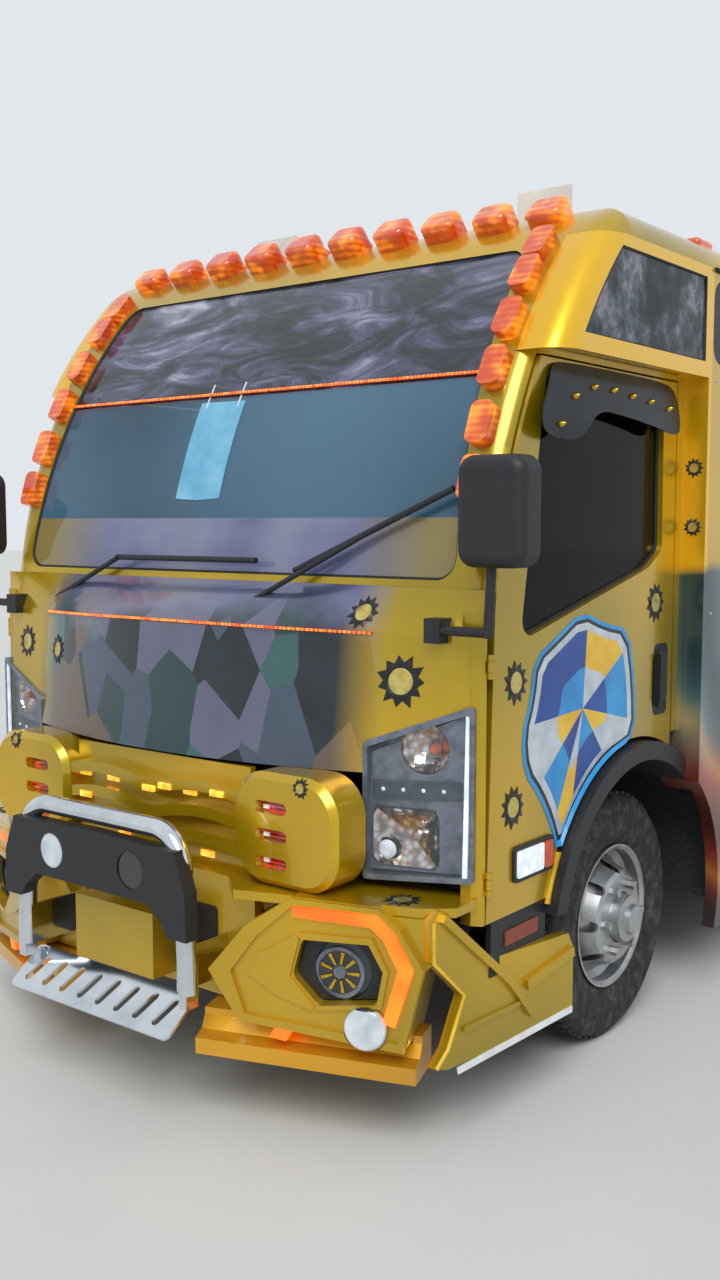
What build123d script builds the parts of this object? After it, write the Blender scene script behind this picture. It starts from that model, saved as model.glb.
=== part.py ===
"""Coach-built minibus on a cab-over light truck chassis, right-hand drive.

Millimetres, Z up, the nose towards -Y and the left-hand side towards +X.
The origin lies on the ground under the middle of the vehicle. Lengths along
the vehicle are given as distances behind the front axle, through at().
"""

import os
from math import asin, cos, pi, radians, sin, sqrt, tan

from build123d import *

os.makedirs("parts", exist_ok=True)

# Whole vehicle
overall_length = 7800
wheelbase = 4175
nose_reach = 1408
body_half = 1095
cab_half = 1010
wall = 45
seat_gap = 0.3
shut_gap = 6
swing_gap = 9

front_axle_y = nose_reach - overall_length / 2
rear_axle_y = front_axle_y + wheelbase


def at(behind):
    """Place along the vehicle of a point so far behind the front axle."""
    return front_axle_y + behind


# Heights
skirt_z = 270
floor_z = 980
floor_thickness = 40
overhang_z = 2140
cant_z = 2490
shoulder_z = 2577
crown_z = 2605
shoulder_inset = 95

# Windscreen, an arc seen from the side
screen_radius = 1761
screen_centre_y = at(870)
screen_centre_z = 1264
screen_foot_z = 1500
screen_top_z = 2462
screen_foot_half = 905
screen_top_half = 845
screen_corner = 60
screen_glass = 6
screen_glass_inset = 8
front_corner_radius = 80

# Coach body ends
coach_front_y = at(300)
tail_bumper_depth = 70
tail_y = overall_length / 2 - tail_bumper_depth
tail_corner_radius = 160

# Wheels and tyres
tyre_radius = 402
tyre_width = 225
flange_radius = 232
rim_radius = 222
rim_thickness = 8
front_track_half = 840
twin_spacing = 255
rear_track_half = 825
axle_z = tyre_radius
arch_radius = 500
flare_width = 58
arch_centre_y = at(-15)
arch_centre_z = 425

# Chassis
rail_outer = 425
rail_width = 70
rail_bottom_z = 560
rail_height = 200
rail_wall = 8
rail_top_z = rail_bottom_z + rail_height
rail_front_y = at(-900)
rail_rear_y = tail_y - 120

# Cab doors
door_thickness = 60
door_hinge_y = at(-873)
door_rear_y = at(250)
door_top_z = overhang_z - 15

# Saloon doors
entry_front_y = at(545)
entry_width = 780
entry_foot_z = 330
entry_top_z = 2110
exit_front_y = tail_y - 1362
exit_width = 700
exit_foot_z = floor_z + 20
boot_half = 780
boot_foot_z = 800
boot_top_z = 1290
boot_depth = 760
bench_z = 1340

# Saloon windows
sill_z = 1400
window_top_z = 2110
window_corner = 60
pillar = 60
upper_sill_z = 2190
upper_top_z = 2455
glass_thickness = 5
glass_inset = 6


def screen_y(z, inset=0):
    """Y of the windscreen arc at a height, inset from the outer skin."""
    reach = sqrt((screen_radius - inset) ** 2 - (z - screen_centre_z) ** 2)
    return screen_centre_y - reach


def arc_angle(z, inset=0):
    """Slope of the windscreen arc at a height, from the horizontal."""
    return pi / 2 - asin((z - screen_centre_z) / (screen_radius - inset))


def hull_profile(inset, foot_z, step_z):
    """Side view of the coach body: step above the cab, brow, roof and tail."""
    top = crown_z - inset
    brow_start_z = 2500 - inset
    brow_rise = top - brow_start_z
    brow_run = brow_rise / tan(arc_angle(brow_start_z, inset) / 2)
    step = step_z + inset
    back = tail_y - inset
    radius = tail_corner_radius - inset
    middle_z = (step + brow_start_z) / 2
    with BuildSketch() as profile:
        with BuildLine():
            screen = ThreePointArc(
                (screen_y(step, inset), step),
                (screen_y(middle_z, inset), middle_z),
                (screen_y(brow_start_z, inset), brow_start_z),
            )
            brow_end = (screen_y(brow_start_z, inset) + brow_run, top)
            brow = TangentArc(screen @ 1, brow_end, tangent=screen % 1)
            roof_line = Line(brow @ 1, (back - radius, top))
            corner = TangentArc(roof_line @ 1, (back, top - radius), tangent=(1, 0))
            Polyline(
                corner @ 1,
                (back, foot_z),
                (coach_front_y + inset, foot_z),
                (coach_front_y + inset, step),
                (screen_y(step, inset), step),
            )
        make_face()
    return profile.sketch


def roof_section(inset):
    """Front view of the coach body: flat sides, round shoulders, low crown."""
    half = body_half - inset
    shoulder = (body_half - shoulder_inset, shoulder_z - inset)
    with BuildSketch() as section:
        with BuildLine():
            right = TangentArc((half, cant_z), shoulder, tangent=(0, 1))
            crown = ThreePointArc(right @ 1, (0, crown_z - inset), (-shoulder[0], shoulder[1]))
            left = TangentArc((-half, cant_z), crown @ 1, tangent=(0, 1))
            Polyline(left @ 0, (-half, 0), (half, 0), right @ 0)
        make_face()
    return section.sketch


def hull_solid(inset, foot_z):
    """Whole coach body as a block, inset from its outer skin."""
    with BuildPart() as block:
        with BuildSketch(Plane.YZ.offset(inset - body_half)):
            add(hull_profile(inset, foot_z, overhang_z))
        extrude(amount=2 * (body_half - inset))
        arcs = block.edges().filter_by(GeomType.CIRCLE)
        fronts = arcs.filter_by(lambda e: abs(e.radius - screen_radius + inset) < 1)
        fillet(fronts, front_corner_radius - inset / 2)
        with BuildSketch(Plane.XZ):
            add(roof_section(inset))
        extrude(amount=overall_length, both=True, mode=Mode.INTERSECT)
    return block.part


hull = hull_solid(0, skirt_z)
cavity = hull_solid(wall, skirt_z - 100)
with BuildPart() as shell:
    add(hull)
    add(cavity, mode=Mode.SUBTRACT)


def slab(x0, x1, y0, y1, z0, z1):
    """Box between two corners, for cuts and plain plates."""
    with BuildPart() as block:
        with Locations(((x0 + x1) / 2, (y0 + y1) / 2, (z0 + z1) / 2)):
            Box(abs(x1 - x0), abs(y1 - y0), abs(z1 - z0))
    return block.part


# Hinges: pin and knuckles on the body, an eye on the door, just outside the skin
hinge_stand = 10
hinge_pin_radius = 5
hinge_eye_radius = 9
hinge_clearance = 0.3
hinge_eye_half = 14
hinge_half = 32


def hinge_leaf(origin, along, toward, out, reach, pinned):
    """Leaf of a hinge: its tongue runs toward the skin that carries it."""
    plane = Plane(origin=origin, x_dir=toward, z_dir=along)
    inward = -1 if Vector(*along).cross(Vector(*toward)).dot(Vector(*out)) > 0 else 1
    spans = ((hinge_eye_half + 2, hinge_half), (-hinge_half, -hinge_eye_half - 2))
    if not pinned:
        spans = ((-hinge_eye_half, hinge_eye_half),)
    with BuildPart() as leaf:
        for low, high in spans:
            with BuildSketch(plane.offset(low)):
                Circle(hinge_eye_radius)
                with Locations((reach / 2, inward * (hinge_stand - 1.5))):
                    Rectangle(reach, 5)
            extrude(amount=high - low)
        with BuildSketch(plane.offset(-hinge_half)):
            Circle(hinge_pin_radius if pinned else hinge_pin_radius + hinge_clearance)
        extrude(amount=2 * hinge_half, mode=Mode.ADD if pinned else Mode.SUBTRACT)
    return leaf.part


# Roof: everything of the shell above the cant line
with BuildPart() as roof:
    add(shell.part)
    split(bisect_by=Plane.XY.offset(cant_z), keep=Keep.TOP)
roof.part.label = "roof"
export_step(roof.part, "parts/roof.step")

# Side walls
side_inner = 955
pane_count = 4
entry_rear_y = entry_front_y + entry_width
exit_rear_y = exit_front_y + exit_width
glazing_rear_y = tail_y - 230


def bays(front, rear, count):
    """Equal window bays between two places, with a pillar between each."""
    width = (rear - front - (count - 1) * pillar) / count
    return [(front + i * (width + pillar), front + i * (width + pillar) + width) for i in range(count)]


left_bays = bays(entry_rear_y + 90, glazing_rear_y, pane_count)
right_bays = bays(at(390), exit_front_y - 90, pane_count) + [(exit_rear_y + 70, glazing_rear_y)]
upper_bays = bays(at(330), glazing_rear_y, pane_count)


def pane(x0, thick, y0, y1, z0, z1, shrink=0):
    """Window outline with round corners, as a cut or as a pane."""
    with BuildPart() as block:
        with BuildSketch(Plane.YZ.offset(x0)):
            with Locations(((y0 + y1) / 2, (z0 + z1) / 2)):
                width, height = y1 - y0 - 2 * shrink, z1 - z0 - 2 * shrink
                RectangleRounded(width, height, min(window_corner, width / 3) - shrink)
        extrude(amount=thick)
    return block.part


def arched_pane(x0, thick, shrink=0):
    """First pane of the upper tier, whose front follows the windscreen arc."""
    inset = 78 + shrink
    low, high = upper_sill_z + shrink, upper_top_z - shrink
    rear = at(270) - shrink
    middle = (low + high) / 2
    with BuildPart() as block:
        with BuildSketch(Plane.YZ.offset(x0)):
            with BuildLine():
                nose = ThreePointArc(
                    (screen_y(low, inset), low),
                    (screen_y(middle, inset), middle),
                    (screen_y(high, inset), high),
                )
                Polyline(nose @ 1, (rear, high), (rear, low), nose @ 0)
            make_face()
        extrude(amount=thick)
    return block.part


def side_panes(side, x0, thick, shrink):
    """Every window of one side, as cuts or as panes. side is 1 or -1."""
    lower = left_bays if side > 0 else right_bays
    panes = [pane(x0, thick, y0, y1, sill_z, window_top_z, shrink) for y0, y1 in lower]
    panes += [pane(x0, thick, y0, y1, upper_sill_z, upper_top_z, shrink) for y0, y1 in upper_bays]
    return panes + [arched_pane(x0, thick, shrink)]


def disc(x0, x1, y, z, radius):
    """Solid disc whose axis lies across the vehicle."""
    with BuildPart() as block:
        with BuildSketch(Plane.YZ.offset(x0)):
            with Locations((y, z)):
                Circle(radius)
        extrude(amount=x1 - x0)
    return block.part


def wall_openings(side):
    """Windows, doorway and wheel arches of one side wall."""
    x0 = side_inner if side > 0 else -body_half - 1
    thick = body_half + 1 - side_inner
    cuts = side_panes(side, x0, thick, 0)
    if side > 0:
        cuts.append(slab(x0, x0 + thick, entry_front_y, entry_rear_y, 0, entry_top_z))
    else:
        cuts.append(slab(x0, x0 + thick, exit_front_y, exit_rear_y, exit_foot_z, entry_top_z))
    cuts.append(disc(x0, x0 + thick, arch_centre_y, arch_centre_z, arch_radius))
    cuts.append(disc(x0, x0 + thick, rear_axle_y, axle_z + 20, arch_radius))
    return cuts


hinge_x = body_half + hinge_stand
entry_hinges = [(hinge_x, entry_front_y + shut_gap / 2, z) for z in (560, 1150, 1850)]
exit_hinges = [(-hinge_x, exit_front_y + shut_gap / 2, z) for z in (1180, 1900)]
boot_hinges = [(x, tail_y + hinge_stand, boot_top_z - shut_gap / 2) for x in (-520, 520)]


def side_wall(side):
    """One side of the coach body, with the jamb and soffit round the cab."""
    with BuildPart() as panel:
        add(shell.part)
        keep = Keep.TOP if side > 0 else Keep.BOTTOM
        split(bisect_by=Plane.YZ.offset(side * side_inner), keep=keep)
        split(bisect_by=Plane.XY.offset(cant_z), keep=Keep.BOTTOM)
        add(wall_openings(side), mode=Mode.SUBTRACT)
        for place in entry_hinges if side > 0 else exit_hinges:
            add(hinge_leaf(place, (0, 0, 1), (0, -1, 0), (side, 0, 0), 34, True))
    return panel.part


side_left = side_wall(1)
side_left.label = "side_left"
export_step(side_left, "parts/side_left.step")
side_right = side_wall(-1)
side_right.label = "side_right"
export_step(side_right, "parts/side_right.step")

# Rear wall
rear_window_half = 760
with BuildPart() as rear_wall:
    add(shell.part)
    split(bisect_by=Plane.XZ.offset(-(tail_y - wall - 200)), keep=Keep.BOTTOM)
    split(bisect_by=Plane.XY.offset(cant_z), keep=Keep.BOTTOM)
    add(slab(side_inner, 2000, 0, 5000, 0, 3000), mode=Mode.SUBTRACT)
    add(slab(-2000, -side_inner, 0, 5000, 0, 3000), mode=Mode.SUBTRACT)
    with BuildSketch(Plane.XZ):
        with Locations((0, (sill_z + 30 + window_top_z + 120) / 2)):
            RectangleRounded(2 * rear_window_half, window_top_z + 90 - sill_z, 90)
        with Locations((0, (boot_foot_z + boot_top_z) / 2)):
            Rectangle(2 * boot_half, boot_top_z - boot_foot_z)
    extrude(amount=-overall_length, mode=Mode.SUBTRACT)
    for place in boot_hinges:
        add(hinge_leaf(place, (1, 0, 0), (0, 0, 1), (0, 1, 0), 34, True))
rear_wall.part.label = "rear_wall"
export_step(rear_wall.part, "parts/rear_wall.step")


def save(part, name):
    """Label a finished piece and write it."""
    part.label = name
    export_step(part, f"parts/{name}.step")


def both_sides(part):
    """A piece and its mirror image on the other side of the vehicle."""
    with BuildPart() as pair:
        add(part)
        mirror(about=Plane.YZ)
    return pair.part


# Windscreen outline, seen from the front
screen_frame_foot_z = screen_foot_z + 20


def screen_outline(shrink):
    """Windscreen seen from the front, narrower at its top, with round corners."""
    foot, top = screen_frame_foot_z + shrink, screen_top_z - shrink
    with BuildSketch() as outline:
        with BuildLine():
            Polyline(
                (screen_foot_half - shrink, foot),
                (screen_top_half - shrink, top),
                (shrink - screen_top_half, top),
                (shrink - screen_foot_half, foot),
                close=True,
            )
        make_face()
        fillet(outline.vertices(), screen_corner - shrink)
    return outline.sketch


def screen_prism(shrink):
    """Block that runs along the vehicle through the windscreen's outline."""
    with BuildPart() as block:
        with BuildSketch(Plane.XZ.offset(-at(200))):
            add(screen_outline(shrink))
        extrude(amount=1500)
    return block.part


with BuildPart() as windscreen_frame:
    add(shell.part)
    split(bisect_by=Plane.XY.offset(cant_z), keep=Keep.BOTTOM)
    add(slab(-2000, 2000, coach_front_y - 300, 5000, 0, 3000), mode=Mode.SUBTRACT)
    add(slab(side_inner, 2000, -5000, 0, 0, 3000), mode=Mode.SUBTRACT)
    add(slab(-2000, -side_inner, -5000, 0, 0, 3000), mode=Mode.SUBTRACT)
    soffit_top_z = overhang_z + wall
    add(slab(-2000, 2000, screen_y(overhang_z) + 70, 0, 0, soffit_top_z), mode=Mode.SUBTRACT)
    add(screen_prism(0), mode=Mode.SUBTRACT)
save(windscreen_frame.part, "windscreen_frame")


def screen_ring(x_half, inset, thickness):
    """Curved sheet that follows the windscreen arc."""
    with BuildPart() as sheet:
        with BuildSketch(Plane.YZ.offset(-x_half)):
            with Locations((screen_centre_y, screen_centre_z)):
                Circle(screen_radius - inset)
                Circle(screen_radius - inset - thickness, mode=Mode.SUBTRACT)
        extrude(amount=2 * x_half)
        split(bisect_by=Plane.XZ.offset(-screen_centre_y), keep=Keep.TOP)
        split(bisect_by=Plane.XY.offset(screen_foot_z), keep=Keep.TOP)
    return sheet.part


with BuildPart() as windscreen:
    add(screen_ring(body_half, screen_glass_inset, screen_glass))
    add(screen_prism(seat_gap), mode=Mode.INTERSECT)
save(windscreen.part, "windscreen")

# Cab: pillars, rear posts and the doors they hold
door_window = ((-715, 1352), (60, 1530), (160, 1585), (152, 2088), (-590, 2088))
door_foot = ((-873, 607), (-550, 607))
flare_outer = arch_radius + flare_width
cab_post_front_y = door_rear_y + 10
flare_gap = 13
pillar_depth = 40


def door_outline(grow):
    """Side view of the cab door, grown by the gap round it where it is a cut."""
    inset = pillar_depth - grow
    front = door_hinge_y - grow
    top = door_top_z + grow
    knee_z = 1450
    middle_z = (knee_z + top) / 2
    with BuildSketch() as outline:
        with BuildLine():
            lean = ThreePointArc(
                (max(front, screen_y(knee_z, inset)), knee_z),
                (screen_y(middle_z, inset), middle_z),
                (screen_y(top, inset), top),
            )
            Polyline(
                lean @ 1,
                (door_rear_y + grow, top),
                (door_rear_y + grow, arch_centre_z),
                (at(door_foot[1][0]), door_foot[0][1] - grow),
                (front, door_foot[0][1] - grow),
                lean @ 0,
            )
        make_face()
        with Locations((arch_centre_y, arch_centre_z)):
            Circle(flare_outer + flare_gap - grow, mode=Mode.SUBTRACT)
    return outline.sketch


with BuildPart() as cab_frame:
    with BuildSketch(Plane.YZ.offset(-cab_half)):
        with BuildLine():
            front_arc = ThreePointArc(
                (screen_y(screen_foot_z), screen_foot_z),
                (screen_y(1800), 1800),
                (screen_y(overhang_z), overhang_z),
            )
            Polyline(
                front_arc @ 1,
                (coach_front_y, overhang_z),
                (coach_front_y, screen_foot_z),
                front_arc @ 0,
            )
        make_face()
    extrude(amount=2 * cab_half)
    fronts = cab_frame.edges().filter_by(GeomType.CIRCLE)
    fillet(fronts, front_corner_radius)
    with BuildSketch(Plane.YZ.offset(door_thickness - cab_half)):
        with BuildLine():
            inner_arc = ThreePointArc(
                (screen_y(1400, wall), 1400),
                (screen_y(1800, wall), 1800),
                (screen_y(2300, wall), 2300),
            )
            Polyline(inner_arc @ 1, (at(900), 2300), (at(900), 1400), inner_arc @ 0)
        make_face()
    extrude(amount=2 * (cab_half - door_thickness), mode=Mode.SUBTRACT)
    for side in (1, -1):
        post_x = side * (cab_half - door_thickness)
        add(slab(post_x, side * cab_half, cab_post_front_y, coach_front_y, floor_z, screen_foot_z))
    with BuildSketch(Plane.YZ.offset(-2000)):
        add(door_outline(shut_gap))
    extrude(amount=4000, mode=Mode.SUBTRACT)
    add(screen_prism(0), mode=Mode.SUBTRACT)
save(cab_frame.part, "cab_frame")


def window_face(shrink):
    """Door window outline, with its sloping waist and round corners."""
    with BuildSketch() as outline:
        with BuildLine():
            Polyline(*[(at(y), z) for y, z in door_window], close=True)
        make_face()
        fillet(outline.vertices(), 45)
        offset(amount=-shrink)
    return outline.sketch


handle_z = 1160
door_hinges = [(cab_half + hinge_stand, door_hinge_y - shut_gap / 2, z) for z in (720, 1300)]
with BuildPart() as door_left:
    for place in door_hinges:
        add(hinge_leaf(place, (0, 0, 1), (0, 1, 0), (1, 0, 0), 34, False))
    with BuildSketch(Plane.YZ.offset(cab_half - door_thickness)):
        add(door_outline(0))
    extrude(amount=door_thickness)
    with BuildSketch(Plane.YZ.offset(cab_half - door_thickness)):
        add(window_face(0))
    extrude(amount=door_thickness, mode=Mode.SUBTRACT)
    with BuildSketch(Plane.YZ.offset(cab_half)):
        with Locations((at(150), handle_z)):
            SlotOverall(210, 80, rotation=90)
    extrude(amount=-20, mode=Mode.SUBTRACT)
save(door_left.part, "cab_door_left")
save(mirror(door_left.part, about=Plane.YZ), "cab_door_right")

with BuildPart() as door_glass_left:
    with BuildSketch(Plane.YZ.offset(cab_half - door_thickness / 2)):
        add(window_face(seat_gap))
    extrude(amount=glass_thickness)
save(door_glass_left.part, "cab_door_glass_left")
save(mirror(door_glass_left.part, about=Plane.YZ), "cab_door_glass_right")

# Cab nose: front panel with its bonnet bulge, in three levels
nose_wall = 35
nose_rear_y = door_hinge_y - shut_gap
nose_levels = ((1000, -1120, -1000), (1380, -1077, -958), (screen_foot_z, -885, -880))
bulge_half = 690
corner_half = 930


def nose_outline(z, middle, shoulder, inset):
    """Plan of the nose at one level: bulge, shoulder and corner."""
    half = cab_half - inset
    corner_y = shoulder + 0.45 * (nose_rear_y - front_axle_y - shoulder)
    side_y = min(corner_y + 60, nose_rear_y - front_axle_y - 1)
    rear = nose_rear_y + (400 if inset else 0)
    with BuildSketch(Plane.XY.offset(z)) as plan:
        with BuildLine():
            bulge = ThreePointArc(
                (-bulge_half, at(shoulder + inset)),
                (0, at(middle + inset)),
                (bulge_half, at(shoulder + inset)),
            )
            Polyline(
                bulge @ 1,
                (corner_half, at(corner_y + inset)),
                (half, at(side_y + inset)),
                (half, rear),
                (-half, rear),
                (-half, at(side_y + inset)),
                (-corner_half, at(corner_y + inset)),
                bulge @ 0,
            )
        make_face()
    return plan.sketch


def nose_block(inset):
    """Nose as a block through its three levels, inset from its skin."""
    with BuildPart() as block:
        for (z0, m0, s0), (z1, m1, s1) in zip(nose_levels, nose_levels[1:]):
            loft([nose_outline(z0, m0, s0, inset), nose_outline(z1, m1, s1, inset)], ruled=True)
    return block.part


# Glass of the saloon
with BuildPart() as side_glass_left:
    add(side_panes(1, body_half - glass_inset - glass_thickness, glass_thickness, seat_gap))
with BuildPart() as side_glass_right:
    add(side_panes(-1, glass_inset - body_half, glass_thickness, seat_gap))

# Chassis frame: two channel rails, cross members and spring hangers
# Cross members as (Y, foot Z): those over the propeller shaft are shallow
cross_low_z, cross_high_z = rail_bottom_z + 20, 694
cross_members = (
    (at(-850), cross_low_z), (at(560), cross_low_z), (at(1350), cross_high_z),
    (at(2450), cross_high_z), (at(3450), cross_high_z), (at(4900), cross_low_z),
    (rail_rear_y - 152, cross_low_z),
)
cross_depth = 90
spring_width = 70
leaf_thickness = 12
eye_radius = 22
front_spring_x = 390
front_spring_half_span = 620
front_spring_eye_z = 515
rear_spring_x = 505
rear_spring_half_span = 680
rear_spring_eye_z = 585
hanger_length = 70
rail_middle_x = rail_outer - rail_width / 2


def hangers(x0, x1, axle_y, half_span, eye_z, top_z):
    """Pair of blocks that take the eyes at a leaf spring's two ends."""
    foot_z = eye_z + eye_radius + seat_gap
    ends = (axle_y - half_span, axle_y + half_span)
    half = hanger_length / 2
    return [slab(x0, x1, y - half, y + half, foot_z, top_z - seat_gap) for y in ends]


with BuildPart() as rail:
    with BuildSketch(Plane.XZ.offset(-rail_front_y)):
        with Locations((rail_middle_x, rail_bottom_z + rail_height / 2)):
            Rectangle(rail_width, rail_height)
        with Locations((rail_middle_x - rail_wall, rail_bottom_z + rail_height / 2)):
            Rectangle(rail_width, rail_height - 2 * rail_wall, mode=Mode.SUBTRACT)
    extrude(amount=-(rail_rear_y - rail_front_y))
rail_inner = rail_outer - rail_width
with BuildPart() as frame_half:
    add(rail.part)
    add(hangers(
        rail_inner, rail_outer, front_axle_y, front_spring_half_span,
        front_spring_eye_z, rail_bottom_z,
    ))
    add(hangers(
        rail_outer + seat_gap, rear_spring_x + spring_width / 2, rear_axle_y,
        rear_spring_half_span, rear_spring_eye_z, rear_spring_eye_z + 90,
    ))
with BuildPart() as chassis_frame:
    add(both_sides(frame_half.part))
    for y0, foot_z in cross_members:
        reach = rail_outer - rail_wall - seat_gap
        add(slab(-reach, reach, y0, y0 + cross_depth, foot_z, rail_top_z - 20))
save(chassis_frame.part, "chassis_frame")


def leaf_spring(x, axle_y, seat_z, half_span, eye_z, leaves):
    """Pack of curved leaves, longest on top, with an eye at each end."""
    top_z = seat_z + leaves * leaf_thickness
    rise = eye_z - (top_z - leaf_thickness / 2)
    radius = (half_span**2 + rise**2) / (2 * rise)
    centre_z = top_z - leaf_thickness / 2 + radius
    with BuildPart() as pack:
        for i in range(leaves):
            inner = radius - leaf_thickness / 2 + i * leaf_thickness
            half = half_span * (1 - 0.72 * i / leaves)
            with BuildSketch(Plane.YZ.offset(x - spring_width / 2)):
                with Locations((axle_y, centre_z)):
                    Circle(inner + leaf_thickness)
                    Circle(inner, mode=Mode.SUBTRACT)
                with Locations((axle_y, centre_z - radius)):
                    Rectangle(2 * half, 600, mode=Mode.INTERSECT)
            extrude(amount=spring_width)
        for end in (-half_span, half_span):
            add(disc(x - spring_width / 2, x + spring_width / 2, axle_y + end, eye_z, eye_radius))
    return pack.part


front_seat_z = 402
rear_seat_z = 480
front_spring = leaf_spring(
    front_spring_x, front_axle_y, front_seat_z + seat_gap, front_spring_half_span,
    front_spring_eye_z, 4,
)
rear_spring = leaf_spring(
    rear_spring_x, rear_axle_y, rear_seat_z + seat_gap, rear_spring_half_span,
    rear_spring_eye_z, 6,
)
with BuildPart() as leaf_springs:
    add(both_sides(front_spring))
    add(both_sides(rear_spring))
save(leaf_springs.part, "leaf_springs")

# Front axle beam, knuckles and tie rod
kingpin_x = 700
kingpin_radius = 16
pin_clearance = 0.3
boss_radius = 42
boss_half = 40
beam_depth = 90
beam_foot_z = 305
beam_top_z = 388
ear_gap = 5
ear_thickness = 26
with BuildPart() as axle_half:
    with BuildSketch(Plane.XZ.offset(-front_axle_y - beam_depth / 2)):
        with BuildLine():
            Polyline(
                (0, beam_foot_z),
                (540, beam_foot_z),
                (640, axle_z - boss_half),
                (kingpin_x, axle_z - boss_half),
                (kingpin_x, axle_z + boss_half),
                (640, axle_z + boss_half),
                (540, beam_top_z),
                (0, beam_top_z),
                close=True,
            )
        make_face()
    extrude(amount=beam_depth)
    pad_half = spring_width / 2
    pad_y = front_axle_y
    add(slab(front_spring_x - pad_half, front_spring_x + pad_half, pad_y - 60, pad_y + 60,
             beam_top_z - 10, front_seat_z))
    with BuildSketch(Plane.XY.offset(axle_z - boss_half)):
        with Locations((kingpin_x, front_axle_y)):
            Circle(boss_radius)
    extrude(amount=2 * boss_half)
    with BuildSketch(Plane.XY.offset(axle_z - boss_half - 1)):
        with Locations((kingpin_x, front_axle_y)):
            Circle(kingpin_radius + pin_clearance)
    extrude(amount=2 * boss_half + 2, mode=Mode.SUBTRACT)
    add(slab(kingpin_x, kingpin_x + 200, pad_y - 100, pad_y - boss_radius, 0, 1000),
        mode=Mode.SUBTRACT)
    add(slab(kingpin_x, kingpin_x + 200, pad_y + boss_radius, pad_y + 100, 0, 1000),
        mode=Mode.SUBTRACT)
save(both_sides(axle_half.part), "front_axle")

web_x = 752
web_thickness = 22
backing_radius = 172
backing_thickness = 8
stub_root_radius = 36
stub_tip_radius = 22
stub_seat_x = 910
stub_end_x = 985
arm_reach = 200
arm_thickness = 20
arm_pin_radius = 9
arm_foot_z = axle_z - boss_half - ear_gap - ear_thickness
rod_radius = 14
rod_eye_radius = 20
rod_eye_half = 17
rod_z = arm_foot_z - ear_gap - rod_eye_half


def bar(start, end, radius):
    """Round bar between two points."""
    line = Edge.make_line(start, end)
    with BuildPart() as rod:
        with BuildSketch(Plane(origin=start, z_dir=line % 0)):
            Circle(radius)
        extrude(amount=line.length)
    return rod.part


with BuildPart() as knuckle_left:
    for foot in (arm_foot_z, axle_z + boss_half + ear_gap):
        with BuildSketch(Plane.XY.offset(foot)):
            with Locations((kingpin_x, front_axle_y)):
                Circle(boss_radius)
            with Locations(((kingpin_x + web_x) / 2, front_axle_y)):
                Rectangle(web_x - kingpin_x, 2 * boss_radius)
        extrude(amount=ear_thickness)
    ear_top_z = axle_z + boss_half + ear_gap + ear_thickness
    add(slab(web_x, web_x + web_thickness, front_axle_y - boss_radius,
             front_axle_y + boss_radius, arm_foot_z, ear_top_z))
    add(bar((kingpin_x, front_axle_y, arm_foot_z), (kingpin_x, front_axle_y, ear_top_z),
            kingpin_radius))
    add(disc(web_x + web_thickness, web_x + web_thickness + backing_thickness, front_axle_y,
             axle_z, backing_radius))
    stub_root_x = web_x + web_thickness + backing_thickness
    add(disc(stub_root_x - 1, stub_seat_x, front_axle_y, axle_z, stub_root_radius))
    add(disc(stub_seat_x - 1, stub_end_x, front_axle_y, axle_z, stub_tip_radius))
    arm_y = front_axle_y + arm_reach
    with BuildSketch(Plane.XY.offset(arm_foot_z)):
        with Locations((kingpin_x, arm_y)):
            Circle(rod_eye_radius)
        with BuildLine():
            Polyline(
                (kingpin_x - 24, front_axle_y + 20),
                (kingpin_x + 24, front_axle_y + 20),
                (kingpin_x + rod_eye_radius, arm_y),
                (kingpin_x - rod_eye_radius, arm_y),
                close=True,
            )
        make_face()
    extrude(amount=arm_thickness)
    add(bar((kingpin_x, arm_y, rod_z - rod_eye_half), (kingpin_x, arm_y, arm_foot_z + 1),
            arm_pin_radius))
save(knuckle_left.part, "knuckle_left")
save(mirror(knuckle_left.part, about=Plane.YZ), "knuckle_right")

with BuildPart() as tie_rod:
    add(bar((-kingpin_x, arm_y, rod_z), (kingpin_x, arm_y, rod_z), rod_radius))
    for x in (-kingpin_x, kingpin_x):
        with BuildSketch(Plane.XY.offset(rod_z - rod_eye_half)):
            with Locations((x, arm_y)):
                Circle(rod_eye_radius)
        extrude(amount=2 * rod_eye_half)
    for x in (-kingpin_x, kingpin_x):
        with BuildSketch(Plane.XY.offset(rod_z - rod_eye_half)):
            with Locations((x, arm_y)):
                Circle(arm_pin_radius + pin_clearance)
        extrude(amount=2 * rod_eye_half, mode=Mode.SUBTRACT)
save(tie_rod.part, "tie_rod")

# Wheels: pressed steel rim and disc, each profile as (radius, offset)
rim_half = 100
bead_half = 91
disc_offset = 127
disc_thickness = 9
hub_hole_radius = 82
stud_circle_radius = 111
stud_count = 6
nut_radius = 15
hand_hole_count = 8
rim_skin = (
    (flange_radius, -rim_half), (rim_radius, -bead_half), (rim_radius, -50), (197, -30),
    (197, 35), (rim_radius, 52), (rim_radius, bead_half), (flange_radius, rim_half),
)
disc_skin = ((190, 40), (172, 62), (150, 118), (136, disc_offset), (hub_hole_radius, disc_offset))
tyre_skin = (
    (rim_radius + seat_gap, -bead_half + seat_gap), (330, -tyre_width / 2),
    (tyre_radius, -78),
)


def spun(points, x, y, facing):
    """Solid of revolution about a wheel's axle from (radius, offset) points."""
    with BuildPart() as solid:
        with BuildSketch(Plane(origin=(x, y, axle_z), x_dir=(0, 0, 1), z_dir=(0, 1, 0))):
            with BuildLine():
                Polyline(*[(r, facing * o) for r, o in points], close=True)
            make_face()
        revolve(axis=Axis((x, y, axle_z), (1, 0, 0)))
    return solid.part


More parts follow.
